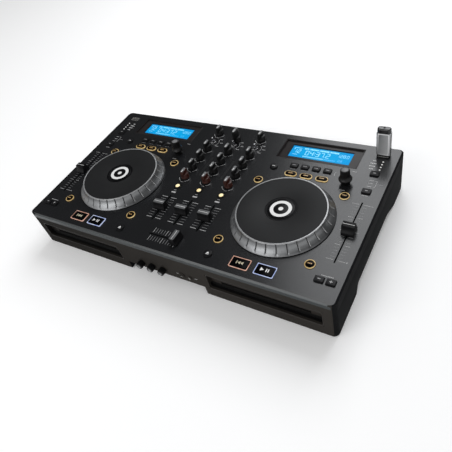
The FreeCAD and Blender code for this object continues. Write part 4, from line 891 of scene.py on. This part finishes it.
for side, deck_x in DECKS.items():
    glass = Finish(f"blue_display_{side}", Roughness=0.4, Base_Color=(0.0, 0.02, 0.06),
                   Emission_Strength=1.0, Specular_IOR_Level=0.015)
    x, y, z = glass.axes()
    across = abs(x - deck_x / 1000) * (1000 / (VIEW_LENGTH / 2))
    upward = abs(y - VIEW_Y / 1000) * (1000 / (VIEW_HEIGHT / 2))
    lamp_fall = glass.ramp(across * across * 0.6 + upward * upward * 0.5, 0.0, 1.1)
    cells = glass.noise(0.0009, 1.0)
    lamp_tone = glass.mix(lamp_fall, (0.0, 0.46, 0.92), (0.0, 0.31, 0.80))
    shown_area = (across < 1.0) * (upward < 1.0)
    tone = glass.mix(0.10 * cells, lamp_tone, (0.02, 0.60, 1.0))
    glass.feed(Emission_Color=glass.mix(shown_area, (0.0, 0.004, 0.012), tone))
    bm = bmesh.new()
    block(bm, (106.0, 34.0, LCD_TOP - LCD_FOOT), (deck_x, WINDOW_Y, LCD_FOOT), 0.3, 1)
    left, low = deck_x - VIEW_LENGTH / 2, VIEW_Y - VIEW_HEIGHT / 2
    for i in range(24):
        sign(bm, bar(1.9, 3.4, 21.0 + i * 2.35, 22.8), (left, low), LCD_TOP,
             FAINT if i % 7 == 3 else SHOWN)
    number(bm, "12", left + 4.5, low + 11.0, 8.5, SHOWN)
    number(bm, "04:37.2", left + 25.0, low + 8.6, 9.6, SHOWN)
    number(bm, "128.0", left + 75.5, low + 14.5, 6.0, SHOWN)
    number(bm, "0.8", left + 79.5, low + 4.2, 4.4, FAINT)
    for shape in (bar(10.5, 1.2, 10.0, 22.8), bar(1.2, 5.0, 4.4, 20.8), bar(8.0, 1.0, 9.0, 7.0)):
        sign(bm, shape, (left, low), LCD_TOP, SHOWN)
    for i in range(30):
        sign(bm, bar(1.25, 2.2, 24.0 + i * 1.75, 4.6), (left, low), LCD_TOP,
             SHOWN if i < 19 else FAINT)
    finished(f"blue_lcd_{side}", bm, (glass, segment, faint), "console",
             ("lcd_panels",) if side == "left" else (), 40)

    pane = Finish(f"display_pane_{side}", Specular_IOR_Level=0.14)
    x, y, z = pane.axes()
    raised = z > PANE_STEP
    half_length = raised * 0.0125 + (VIEW_LENGTH / 2000 + 0.0008)
    half_height = raised * 0.0068 + (VIEW_HEIGHT / 2000 + 0.001)
    clear = (abs(x - deck_x / 1000) < half_length) * (abs(y - WINDOW_Y / 1000) < half_height)
    rub = pane.noise(0.02, 3.0)
    pane.feed(Base_Color=pane.mix(rub, (0.0205, 0.0180, 0.0180), (0.0265, 0.0235, 0.0235)),
              Roughness=0.20 + 0.08 * rub, Alpha=1.0 - 0.96 * clear)
    bm = bmesh.new()
    block(bm, (132.0, 48.5, 1.5), (deck_x, WINDOW_Y, 66.0), 0.15, 1)
    block(bm, (128.5, 45.0, 2.4), (deck_x, WINDOW_Y, 67.4), 0.25, 2)
    finished(f"printed_pane_{side}", bm, (pane,), "console",
             ("display_windows",) if side == "left" else (), 40)


# ---- the plate's print ----
# Pale grey screen print on the coated plate: scales beside the faders, arcs round the knobs and
# short dashes for captions. It carries no words.

PRINT = TOP + 0.005
sign_dark = moulded("dark_grey_print", (0.17, 0.17, 0.175), (0.25, 0.25, 0.255), 0.4, 0.55)
PRINT_FINISHES = (sign_grey, sign_dark, print_white)
BRIGHT, DARK, BRIGHTEST = range(len(PRINT_FINISHES))


def arc(bm, centre, radius, start, stop, width):
    """A flat curved stroke in the plan, between two bearings in degrees."""
    steps = max(2, round(abs(stop - start) / 12))
    inner, outer = radius - width / 2, radius + width / 2
    stroke = [bm.verts.new((inner, 0, PRINT)), bm.verts.new((outer, 0, PRINT)),
              bm.verts.new((outer, 0, PRINT + 0.04)), bm.verts.new((inner, 0, PRINT + 0.04))]
    face = bm.faces.new(stroke)
    bmesh.ops.rotate(bm, cent=(0, 0, 0), matrix=Matrix.Rotation(math.radians(start), 3, "Z"),
                     verts=stroke)
    bmesh.ops.spin(bm, geom=[face], cent=(0, 0, 0), axis=(0, 0, 1),
                   angle=math.radians(stop - start), steps=steps)
    bmesh.ops.translate(bm, vec=(*centre, 0), verts=joined_to(stroke))


def knob_scale(bm, x, y, caption, drop):
    """The two lower ends of a knob's travel, with its caption below."""
    arc(bm, (x, y), 10.2, -160, -112, 0.65)
    arc(bm, (x, y), 10.2, -68, -20, 0.65)
    printed_line(bm, caption, 1.05, (x, y - drop), PRINT, BRIGHT)


bm = bmesh.new()
for deck_x in DECKS.values():
    out = math.copysign(1, deck_x)
    for x, y in TRACK_KEYS:
        printed_line(bm, 8.5, 0.9, (deck_x + x, y - 6.7), PRINT, DARK)
    fader_x = deck_x + out * PITCH_OFFSET
    for i in range(-10, 11):
        reach = 9.5 if i % 10 == 0 else (7.0 if i % 5 == 0 else 5.4)
        for way in (-1, 1):
            sign(bm, bar(reach, 0.55, way * (3.0 + reach / 2)), (fader_x, PITCH_Y + i * 5.0),
                 PRINT, BRIGHT if i % 5 == 0 else DARK)
    sign(bm, bar(2.6, 0.6), (fader_x + 14.5, PITCH_Y + 50), PRINT, BRIGHT)
    sign(bm, bar(2.6, 0.6), (fader_x + 14.5, PITCH_Y - 50), PRINT, BRIGHT)
    sign(bm, bar(0.6, 2.6), (fader_x + 14.5, PITCH_Y - 50), PRINT, BRIGHT)
    column_x = deck_x + out * COLUMN_X
    for y in (70.0, 64.0, 57.5):
        printed_line(bm, 6.4, 1.1, (column_x, y), PRINT, BRIGHT)
    for y in (57.5, 70.0):
        sign(bm, bar(2.6, 0.45), (column_x + 6.6, y), PRINT, BRIGHT)
    sign(bm, bar(0.45, 12.5, 7.9), (column_x, 63.75), PRINT, BRIGHT)
    printed_line(bm, 7.5, 1.0, (column_x + 13.0, 63.75), PRINT, DARK)
    printed_line(bm, 9.0, 1.0, (column_x, RANGE_Y - 7.8), PRINT, BRIGHT)
    for i, length in enumerate((6.0, 8.4, 9.2, 5.0)):
        printed_line(bm, length, 1.25, (column_x - out * 8.6, LAMP_Y + i * LAMP_PITCH), PRINT,
                     BRIGHTEST)
    printed_line(bm, 16.0, 1.1, (deck_x + out * BEND_X, BEND_Y + 7.7), PRINT, BRIGHT)
    printed_line(bm, 8.0, 1.2, (deck_x + BROWSE_OFFSET, BROWSE_Y - 15.0), PRINT, BRIGHT)
    printed_line(bm, 6.5, 1.2, (deck_x + BROWSE_OFFSET + 4.5, BROWSE_Y + 26.0), PRINT, BRIGHT)
    arc(bm, (deck_x + BROWSE_OFFSET - 13.5, BROWSE_Y + 14.5), 8.0, 150, 210, 0.6)

for y in KNOB_ROWS.values():
    for x in COLUMNS:
        knob_scale(bm, x, y, 5.2, 11.3)
for name in ("booth_knob", "master_knob"):
    knob_scale(bm, *TOP_KNOBS[name][:2], 8.0, 11.8)
for x in COLUMNS:
    for i in range(10):
        length, width, tone = (10.0, 0.9, BRIGHT) if i in (0, 9) else (8.6, 0.6, DARK)
        for way in (-1, 1):
            sign(bm, bar(length, width, way * 8.5), (x, CHANNEL_Y + 22.4 - i * 4.98), PRINT, tone)
    sign(bm, bar(8.0, 2.6), (x, PHONES_Y - 13.2), PRINT, BRIGHT)
    sign(bm, bar(4.2, 1.5), (x, PHONES_Y - 8.2), PRINT, DARK)
    arc(bm, (x, SWITCH_Y), 10.0, -50, 50, 0.5)
    for bearing in (-45, 0, 45):
        turn = math.radians(bearing)
        spot = (x + 14.4 * math.cos(turn) + 1.0, SWITCH_Y + 12.5 * math.sin(turn))
        printed_line(bm, 5.6, 1.3, spot, PRINT, BRIGHT)
for i in range(-5, 6):
    length, tone = (9.5, BRIGHT) if i % 5 == 0 else (7.6, DARK)
    for way in (-1, 1):
        sign(bm, bar(0.6, length), (i * 4.5, CROSS_Y + way * 7.5), PRINT, tone)
finished("plate_print", bm, PRINT_FINISHES, "console", (), 40)


# ---- the case ----
# Two mouldings of textured black ABS: an upper frame with the side cheeks and rear band, and a
# tray on four pods. Their outside edges are eased, as a mould leaves them.

REAR, REAR_ROW_Z = 144.25, 34.0
JACK_COLUMNS, JACK_ROWS = (-96.0, -72.0, -48.0, -24.0), (44.0, 30.0)
LINK_X, INLET_X, ROCKER_X = 72.0, 180.0, 218.0
LARGE_JACK_X, SMALL_JACK_X = 35.0, 49.0


def body_of(node):
    """The body that a CAD node rides on."""
    return next(body for body, names in frame["record"]["behaviour"]["bodies"].items()
                if node in names)


def eased(name, node, width, finishes, corner, shortest, outside):
    """A merged copy of a CAD node with its long outside edges rounded, which stands for it."""
    bm = bmesh.new()
    bm.from_mesh(nodes[node].data)
    bmesh.ops.remove_doubles(bm, verts=bm.verts, dist=1e-6)
    bmesh.ops.dissolve_limit(bm, angle_limit=math.radians(0.5), verts=bm.verts, edges=bm.edges)
    long_edges = [e for e in bm.edges if len(e.link_faces) == 2 and e.is_convex
                  and e.calc_face_angle() > math.radians(corner)
                  and e.calc_length() > shortest and all(outside(v.co) for v in e.verts)]
    bmesh.ops.bevel(bm, geom=long_edges, offset=width / 1000, offset_type="OFFSET",
                    affect="EDGES", segments=3, profile=0.5, material=-1, clamp_overlap=True)
    bmesh.ops.scale(bm, vec=(1000, 1000, 1000), verts=bm.verts)
    for face in bm.faces:
        face.material_index = 0
    finished(name, bm, finishes, body_of(node), (node,), 30)


def painted_shade_to_left(finish, tone):
    """The front's colour, with painted shade that sinks it towards black at the left end of the
    wall.
    """
    left_shade = finish.ramp(finish.axes()[0], -0.26, 0.08, 0.62, 0.0)
    return finish.mix(left_shade, tone, (0.001, 0.001, 0.001))


case_black = Finish("textured_case_plastic", Specular_IOR_Level=0.04)
spark = case_black.noise(0.0007, 4.0)
tone = case_black.noise(0.05, 2.0)
front_wall = case_black.axes()[1] < -0.1436
side_tone = case_black.mix(tone, (0.0052, 0.0055, 0.0062), (0.0074, 0.0077, 0.0085))
# The front wall is coloured a lighter, warm brown-grey than the sides: painted reflection. Towards
# its left end it sinks to black: painted shade.
front_wall_sheen = case_black.mix(tone, (0.0350, 0.0315, 0.0280), (0.0430, 0.0390, 0.0350))
case_black.feed(Base_Color=case_black.mix(front_wall, side_tone,
                                          painted_shade_to_left(case_black, front_wall_sheen)),
                Roughness=0.55 + 0.18 * spark)
case_black.bump(spark, 0.00006, 0.5)
eased("moulded_upper_frame", "upper_case", 1.1, (case_black,), 40, 0.004,
      lambda spot: spot.z > 0.069 and (abs(spot.x) > 0.2605 or spot.y > 0.14))
eased("moulded_tray", "bottom_case", 0.7, (case_black,), 25, 0.0045,
      lambda spot: spot.z < 0.0185 or abs(spot.x) > 0.2635)

# Dashes for captions stand over the front and rear fittings.
bm = bmesh.new()
printed_line(bm, 4.6, 1.5, (LARGE_JACK_X - 7.4, 30.6), 0.0, 0)
printed_line(bm, 5.2, 1.5, (SMALL_JACK_X + 10.4, 30.6), 0.0, 0)
for x in FRONT_KNOBS.values():
    printed_line(bm, 6.0, 0.9, (x, 38.6), 0.0, 1)
swung(bm, bm.verts, math.pi / 2, "X", (0, FRONT - 0.01, 0))
finished("front_print", bm, (sign_grey, smoked_black_and_recess_shade), "console", (), 40)

bm = bmesh.new()
for x, length in zip(JACK_COLUMNS, (9.0, 12.0, 9.0, 12.0)):
    printed_line(bm, length, 1.4, (-x, 53.6), 0.0, 0)
for x, length in ((LINK_X, 9.0), (INLET_X, 16.0), (ROCKER_X, 9.0)):
    printed_line(bm, length, 1.4, (-x, 50.5), 0.0, 0)
for z in JACK_ROWS:
    printed_line(bm, 2.6, 2.2, (-JACK_COLUMNS[-1] - 11.0, z), 0.0, 0)
swung(bm, bm.verts, math.pi / 2, "X", (0, 0, 0))
swung(bm, bm.verts, math.pi, "Z", (0, REAR + 0.02, 0))
finished("rear_print", bm, (sign_grey,), "console", (), 40)


# ---- the feet and the case screws ----
# Four turned rubber feet are glued under the pods, and four pan-head screws hold the tray up to the
# frame. Each head's cross recess is drawn as a dark cross of bars over its dish: painted shade.

FOOT_X, FOOT_Y, SCREW_X, SCREW_Y = 238.0, 120.25, 66.0, 48.0
CORNERS = [(i, j) for i in (-1, 1) for j in (-1, 1)]
rubber = moulded("matte_black_rubber", (0.010, 0.010, 0.010), (0.020, 0.020, 0.020), 0.75, 0.95,
                 0.0009, 0.25)
bm = bmesh.new()
for i, j in CORNERS:
    turned(bm, [(0, 0.35), (3.4, 0.35), (3.8, 0.0), (8.2, 0.0), (8.8, 0.3), (9.0, 0.9),
                (9.0, 2.0), (0, 2.0)], (i * FOOT_X, j * FOOT_Y, 0), steps=48)
finished("rubber_pads", bm, (rubber,), "console", ("rubber_feet",), 35)

steel = worn("black_zinc_steel", 0.002, (0.10, 0.10, 0.105), (0.17, 0.17, 0.175), 0.26, 0.2,
             0.00001, Metallic=0.9)
bm = bmesh.new()
for i, j in CORNERS:
    place = (i * SCREW_X, j * SCREW_Y, 0)
    turned(bm, [(0, 16.95), (0.5, 16.95), (1.5, 16.25), (2.5, 16.35), (3.0, 16.8), (3.2, 17.5),
                (3.2, 18.0), (1.5, 18.0), (1.5, 27.0), (0, 27.0)], place, steps=24)
    for turn in (0, math.pi / 2):
        recess_shade = block(bm, (3.4, 0.8, 0.9), (0, 0, 16.24), 0.1, 1, material=1)
        swung(bm, recess_shade, turn, "Z", place)
finished("pan_head_screws", bm, (steel, smoked_black_and_recess_shade), "console", ("case_screws",), 35)


# ---- the slot bezels ----
# A dished frame of semi-gloss plastic snaps into the front wall over each drive. Two strips of
# black felt close its slot and wipe the disc.

BEZEL_X, BEZEL_Z, SLOT_X, SLOT_Z = 163.0, 34.5, 162.5, 30.0
BEZEL_LENGTH, BEZEL_HEIGHT, BEZEL_FLOOR = 168.0, 31.0, -7.5
SLOT_RISE = SLOT_Z - BEZEL_Z
bezel_black = Finish("semigloss_bezel", Specular_IOR_Level=0.2)
polish = bezel_black.noise(0.014, 2.0)
x, y, z = bezel_black.axes()
# The lower part of the dish behind its front edge is coloured near black and made rougher: painted
# shade.
painted_dish_shade = (y > -0.1405) * (z < 0.0275)
# The bezel's colour also sinks towards black at its left end: painted shade.
bezel_tone = bezel_black.mix(polish, (0.0250, 0.0215, 0.0185), (0.0310, 0.0270, 0.0235))
bezel_black.feed(Base_Color=bezel_black.mix(painted_dish_shade, painted_shade_to_left(bezel_black, bezel_tone),
                                            (0.0012, 0.0012, 0.0012)),
                 Roughness=0.26 + 0.16 * polish + 0.4 * painted_dish_shade)
bezel_black.bump(bezel_black.noise(0.0006, 3.0), 0.00002, 0.4)
felt_and_bore_shade = moulded("black_felt_and_bore_shade", (0.0015, 0.0015, 0.0015), (0.004, 0.004, 0.004), 0.9, 1.0, 0.0003,
               0.1)


def drawn_edges(bm, edges, move, scale=(1, 1, 1)):
    """Extrude a chain of edges, scale the new ones about the origin and move them."""
    made = bmesh.ops.extrude_edge_only(bm, edges=edges)["geom"]
    verts = [item for item in made if isinstance(item, bmesh.types.BMVert)]
    bmesh.ops.scale(bm, vec=scale, verts=verts)
    bmesh.ops.translate(bm, vec=move, verts=verts)
    return [item for item in made
            if isinstance(item, bmesh.types.BMEdge) and all(v in verts for v in item.verts)]


for side, way in (("left", -1), ("right", 1)):
    # From a rounded floor the dish rises to its lip, which is eased outwards, and the rim turns
    # back into the wall.
    bm = bmesh.new()
    across, up = BEZEL_LENGTH / 2 - 1.5, BEZEL_HEIGHT / 2 - 1.5
    dish = [bm.verts.new((x, y, BEZEL_FLOOR))
            for x, y in ((-across, -up), (across, -up), (across, up), (-across, up))]
    bm.faces.new(dish)
    bmesh.ops.bevel(bm, geom=dish, offset=3.2, affect="VERTICES", segments=5, profile=0.5,
                    material=-1)
    rim = [e for e in bm.edges if e.is_boundary]
    wide, high = across, up
    for move, grown in ((7.1, 0.0), (0.4, 0.4), (0.0, 0.8), (-0.3, 0.3), (-8.7, 0.0)):
        scale = ((wide + grown) / wide, (high + grown) / high, 1)
        rim = drawn_edges(bm, rim, (0, 0, move), scale)
        wide, high = wide + grown, high + grown
    # The floor is cut through where the slot passes, and the slot gets lips.
    shift = way * (SLOT_X - BEZEL_X)
    for spot, normal in (((shift - 65.5, 0, 0), (1, 0, 0)), ((shift + 65.5, 0, 0), (1, 0, 0)),
                         ((0, SLOT_RISE - 2.5, 0), (0, 1, 0)),
                         ((0, SLOT_RISE + 2.5, 0), (0, 1, 0))):
        parts = set()
        for face in bm.faces:
            if all(abs(v.co.z - BEZEL_FLOOR) < 1e-4 for v in face.verts):
                parts.update([face, *face.edges, *face.verts])
        bmesh.ops.bisect_plane(bm, geom=list(parts), dist=1e-5, plane_co=spot, plane_no=normal)
    gap = []
    for face in bm.faces:
        middle = face.calc_center_median()
        if abs(middle.z - BEZEL_FLOOR) < 1e-4 and abs(middle.x - shift) < 60 \
                and abs(middle.y - SLOT_RISE) < 2:
            gap.append(face)
    lips = [e for f in gap for e in f.edges]
    bmesh.ops.delete(bm, geom=gap, context="FACES_ONLY")
    drawn_edges(bm, lips, (0, 0, -1.5))
    for y in (-1.55, 1.55):
        block(bm, (130.8, 1.8, 0.9), (shift, SLOT_RISE + y, -8.9), 0.2, 1, material=1)
    swung(bm, bm.verts, math.pi / 2, "X", (way * BEZEL_X, FRONT, BEZEL_Z))
    finished(f"dished_bezel_{side}", bm, (bezel_black, felt_and_bore_shade), "console",
             ("slot_bezels",) if side == "left" else (), 35)


# ---- the sockets ----
# Plated steel drive sockets stand up through the plate, two headphone jacks sit in the front
# wall, and eight phono jacks, a data socket and the power inlet sit in the rear wall.

DRIVE_SOCKET_OFFSET, DRIVE_SOCKET_Y = 92.05, 127.0
nickel = worn("nickel_plate", 0.0025, (0.42, 0.42, 0.40), (0.58, 0.57, 0.55), 0.20, 0.18,
              0.00001, Metallic=0.95)
jack_white = moulded("white_jack_ring", (0.62, 0.61, 0.58), (0.74, 0.73, 0.70), 0.3, 0.45)
jack_red = moulded("red_jack_ring", (0.45, 0.02, 0.015), (0.60, 0.035, 0.025), 0.3, 0.45)
tongue_grey = moulded("grey_socket_tongue", (0.10, 0.10, 0.105), (0.15, 0.15, 0.155), 0.3, 0.45)
NICKEL, BLACK, BORE_SHADE, WHITE_RING, RED_RING, TONGUE = range(6)


def hollowed(bm, size, place, wall, depth, corners=0.0, material=0):
    """A block whose top is sunk to leave a wall all round, with its edges eased."""
    verts = block(bm, size, place, 0, 1, corners, material)
    top = max((f for v in verts for f in v.link_faces), key=lambda f: f.calc_center_median().z)
    for thickness, sunk in ((wall, 0), (0.02, -depth)):
        bmesh.ops.inset_individual(bm, faces=[top], thickness=thickness, depth=sunk,
                                   use_even_offset=True)
    verts = joined_to(verts[:1])
    lip = {e for v in verts for e in v.link_edges if e.is_convex
           and e.calc_face_angle() > math.radians(50)}
    return rounded(bm, list(lip), 0.18, 2)


bm = bmesh.new()
for side, deck_x in DECKS.items():
    x, y = deck_x + math.copysign(DRIVE_SOCKET_OFFSET, deck_x), DRIVE_SOCKET_Y
    hollowed(bm, (16.0, 8.6, 13.0), (x, y, 57.6), 1.6, 12.3, 0.9, NICKEL)
    if side == "left":
        block(bm, (11.2, 1.9, 10.0), (x, y + 1.2, 58.4), 0.2, 1, material=TONGUE)
        for i in range(4):
            block(bm, (1.2, 0.12, 7.5), (x + (i - 1.5) * 2.4, y + 0.2, 60.0), material=NICKEL)
for x, nut, bore in ((LARGE_JACK_X, 6.0, 3.2), (SMALL_JACK_X, 4.0, 1.8)):
    jack = turned(bm, [(bore, -6), (bore, 1.75), (bore + 0.25, 2.0), (nut - 1.2, 2.0), (nut, 1.3),
                       (nut, 0.02), (bore, 0.02)], (0, 0, 0), 6 if nut > 5 else 32, BLACK)
    jack += turned(bm, [(bore - 0.4, -8), (bore - 0.4, 1.4), (bore, 1.7), (bore + 0.1, -8),
                        (bore - 0.4, -8)], (0, 0, 0), 32, NICKEL)
    # The bore is closed by a near-black disc in the felt finish: painted shade.
    jack += turned(bm, [(0, -8), (bore - 0.35, -8), (bore - 0.35, -7.6), (0, -7.6)], (0, 0, 0),
                   24, BORE_SHADE)
    swung(bm, jack, math.pi / 2, "X", (x, FRONT, FRONT_ROW_Z))
finished("drive_sockets_and_front_jacks", bm,
         (nickel, case_black, felt_and_bore_shade, jack_white, jack_red, tongue_grey), "console",
         ("connector_sockets",), 40)

bm = bmesh.new()
for x in JACK_COLUMNS:
    for z, ring_material in zip(JACK_ROWS, (WHITE_RING, RED_RING)):
        jack = turned(bm, [(1.65, 2.2), (1.65, 9.6), (1.9, 10.0), (3.8, 10.0), (4.15, 9.6),
                           (4.15, 6.9), (3.95, 6.7), (4.15, 6.5), (4.15, 1.0), (6.0, 1.0),
                           (6.0, 0.05), (1.65, 0.05), (1.65, 2.2)], (0, 0, 0), 48, NICKEL)
        jack += turned(bm, band(1.7, 3.3, 9.8, 9.95), (0, 0, 0), 32, ring_material)
        jack += turned(bm, band(4.3, 5.9, 1.02, 1.2), (0, 0, 0), 48, ring_material)
        # The centre bore is closed by a near-black disc in the felt finish: painted shade.
        jack += turned(bm, [(0, 2.0), (1.65, 2.0), (1.65, 2.2), (0, 2.2)], (0, 0, 0), 24, BORE_SHADE)
        swung(bm, jack, -math.pi / 2, "X", (x, REAR, z))
inlet = hollowed(bm, (27.0, 19.5, 20.0), (0, 0, -18.5), 2.0, 17.6, 0.8, BLACK)
for i in (-1, 0, 1):
    inlet += block(bm, (2.0, 4.0, 12.0), (i * 7.0, 0.0, -16.5), 0.4, 2, material=NICKEL)
swung(bm, inlet, -math.pi / 2, "X", (INLET_X, REAR, REAR_ROW_Z))
link = hollowed(bm, (12.0, 10.9, 20.0), (0, 0, -18.5), 1.5, 17.6, 0.8, NICKEL)
link += block(bm, (5.0, 3.4, 12.5), (0, 0, -16.5), 0.3, 1, material=BLACK)
swung(bm, link, -math.pi / 2, "X", (LINK_X, REAR, REAR_ROW_Z))
rocker_frame = hollowed(bm, (15.6, 26.0, 10.0), (0, 0, -8.5), 1.5, 9.9, 0.6, BLACK)
swung(bm, rocker_frame, -math.pi / 2, "X", (ROCKER_X, REAR, REAR_ROW_Z))
finished("rear_jacks_and_inlet", bm, (nickel, case_black, felt_and_bore_shade, jack_white, jack_red),
         "console", (), 40)


# ---- the power rocker ----
# A snap-in rocker of gloss black nylon beside the inlet, marked with the usual bar and ring. It
# tips about its middle, from one mark to the other.

bm = bmesh.new()
profile = [(-3.0, -5.0), (5.2, -10.0), (2.6, 0.0), (3.4, 10.0), (1.4, 10.0), (-3.0, 5.0)]
prism(bm, [(-6.0, y, z) for y, z in profile], (12.0, 0, 0))
rounded(bm, [e for e in bm.edges if e.calc_face_angle() > math.radians(20)], 0.35, 2)
on_mark = block(bm, (0.7, 3.6, 0.08), (0, 0, 0), material=1)
swung(bm, on_mark, math.radians(-94.6), "X", (0, 3.02, 5.0))
off_mark = turned(bm, band(1.1, 1.7, 0, 0.08), (0, 0, 0), 24, 1)
swung(bm, off_mark, math.radians(-75.4), "X", (0, 3.92, -5.0))
bmesh.ops.translate(bm, vec=(ROCKER_X, REAR - 1.5, REAR_ROW_Z), verts=bm.verts)
finished("nylon_rocker", bm, (key_gloss, print_white), "rocker", ("power_rocker",),
         35)


# ---- the drive stick ----
# A memory stick of black plastic in a satin steel sleeve, pressed into the right-hand socket. The
# sleeve's faces are bare panels, sunk a little inside a border. Both are painted lighter towards
# the right, where the border turns near white: painted light and a painted highlight.

STICK_X, STICK_Y, STICK_TOP = DECKS["right"] + DRIVE_SOCKET_OFFSET, DRIVE_SOCKET_Y, 118.5
sleeve = Finish("satin_stick_sleeve", Metallic=0.3)
x, y, z = sleeve.axes()
drawn = sleeve.noise(0.0005, 3.0, (1, 1, 0.05))
held = sleeve.noise(0.01, 2.0)
# The sleeve's colour runs from dark at its left to pale at its right: painted light.
across = sleeve.ramp(x - 0.12 * z, 0.216, 0.240)
sleeve.feed(Base_Color=sleeve.mix(0.85 * across + 0.15 * held, (0.15, 0.155, 0.16),
                                  (0.74, 0.75, 0.76)),
            Roughness=0.28 + 0.16 * drawn + 0.08 * held)
sleeve.bump(drawn, 0.000012, 0.5)
stick_black = moulded("gloss_stick_black", (0.012, 0.012, 0.013), (0.022, 0.022, 0.023),
                      0.12, 0.22, shine=0.6)
border = Finish("stick_border_painted_highlight", Specular_IOR_Level=0.5)
x, y, z = border.axes()
gleam = border.noise(0.006, 2.0)
# The border turns near white along its right and upper edges: painted highlight.
edge_light = border.ramp(x + 0.5 * z, 0.268, 0.284)
border.feed(Base_Color=border.mix(edge_light, (0.20, 0.20, 0.21), (0.97, 0.97, 0.98)),
            Roughness=0.2 + 0.12 * gleam)
STEEL, BLACK_ENDS, PLUG, BORDER = range(4)
bm = bmesh.new()
block(bm, (19.3, 8.9, STICK_TOP - 70.9), (STICK_X, STICK_Y, 70.9), 2.6, 5, 4.3, BLACK_ENDS)
block(bm, (19.9, 9.5, 2.6), (STICK_X, STICK_Y, 70.9), 0.4, 2, 3.9, BLACK_ENDS)
shell = block(bm, (20.0, 9.6, 37.4), (STICK_X, STICK_Y, 73.8), 0.3, 2, 2.0, STEEL)
for face in {f for v in shell for f in v.link_faces if abs(f.normal.x) > 0.8}:
    face.material_index = BLACK_ENDS
panels = list({f for v in shell for f in v.link_faces
               if abs(f.normal.y) > 0.99 and f.calc_area() > 200})
edging = bmesh.ops.inset_individual(bm, faces=panels, thickness=1.2, depth=0,
                                    use_even_offset=True)["faces"]
for face in edging:
    face.material_index = BORDER
bmesh.ops.inset_individual(bm, faces=panels, thickness=0.25, depth=-0.22, use_even_offset=True)
turned(bm, [(0, STICK_TOP), (1.6, STICK_TOP), (1.65, STICK_TOP - 0.05), (0, STICK_TOP - 0.05)],
       (STICK_X, STICK_Y, 0), 24, BLACK_ENDS)
block(bm, (12.0, 4.5, 12.2), (STICK_X, STICK_Y, 59.2), 0.2, 1, 0, PLUG)
finished("sleeved_drive_stick", bm, (sleeve, stick_black, chrome, border), "stick",
         ("usb_flash_drive",), 35)


# ---- what lies inside ----
# The boards, drives, tracks, posts and rollers are bought-in parts and keep their CAD shapes.
# Boards are green laminate, drives zinc-plated sheet, and posts and spindles turned steel.

laminate = Finish("green_laminate")
x, y, z = laminate.axes()
copper = (laminate.noise(0.004, 0.0, (1, 0.25, 1)) > 0.56) * 0.6
transformer = (z > 0.0262) * (z < 0.052) * (x > 0.0065) * (x < 0.0555)
board_tone = laminate.mix(copper, (0.006, 0.06, 0.022), (0.02, 0.14, 0.05))
laminate.feed(Base_Color=laminate.mix(transformer, board_tone, (0.16, 0.12, 0.05)),
              Roughness=0.32 + 0.2 * laminate.noise(0.003))
zinc = Finish("zinc_plated_sheet", Metallic=0.9)
spangle = zinc.noise(0.005, 3.0)
zinc.feed(Base_Color=zinc.mix(spangle, (0.34, 0.35, 0.36), (0.46, 0.47, 0.48)),
          Roughness=0.30 + 0.2 * spangle)
zinc.bump(spangle, 0.00001, 0.3)
turned_steel = Finish("turned_steel", Metallic=1.0)
lay = turned_steel.noise(0.0006, 2.0, (1, 1, 12))
turned_steel.feed(Base_Color=turned_steel.mix(lay, (0.40, 0.40, 0.41), (0.52, 0.52, 0.53)),
                  Roughness=0.2 + 0.15 * lay)
blackened = worn("blackened_steel", 0.004, (0.012, 0.012, 0.013), (0.03, 0.03, 0.031),
                 0.4, 0.2, Metallic=0.6)
roller = Finish("rubber_roller")
x, y, z = roller.axes()
journal = abs(abs(x) - SLOT_X / 1000) > 0.0695
grip = roller.noise(0.001, 2.0)
sleeve_tone = roller.mix(grip, (0.012, 0.012, 0.012), (0.025, 0.025, 0.025))
roller.feed(Base_Color=roller.mix(journal, sleeve_tone, (0.45, 0.45, 0.46)),
            Metallic=1.0 * journal, Roughness=0.85 - 0.55 * journal + 0.1 * grip)
dressed("circuit_boards", laminate)
dressed("disc_drives", zinc)
dressed("control_bodies", blackened)
dressed("jog_bearings", turned_steel)
for side in DECKS:
    dressed(f"disc_spindle_{side}", turned_steel)
    dressed(f"feed_roller_{side}", roller)
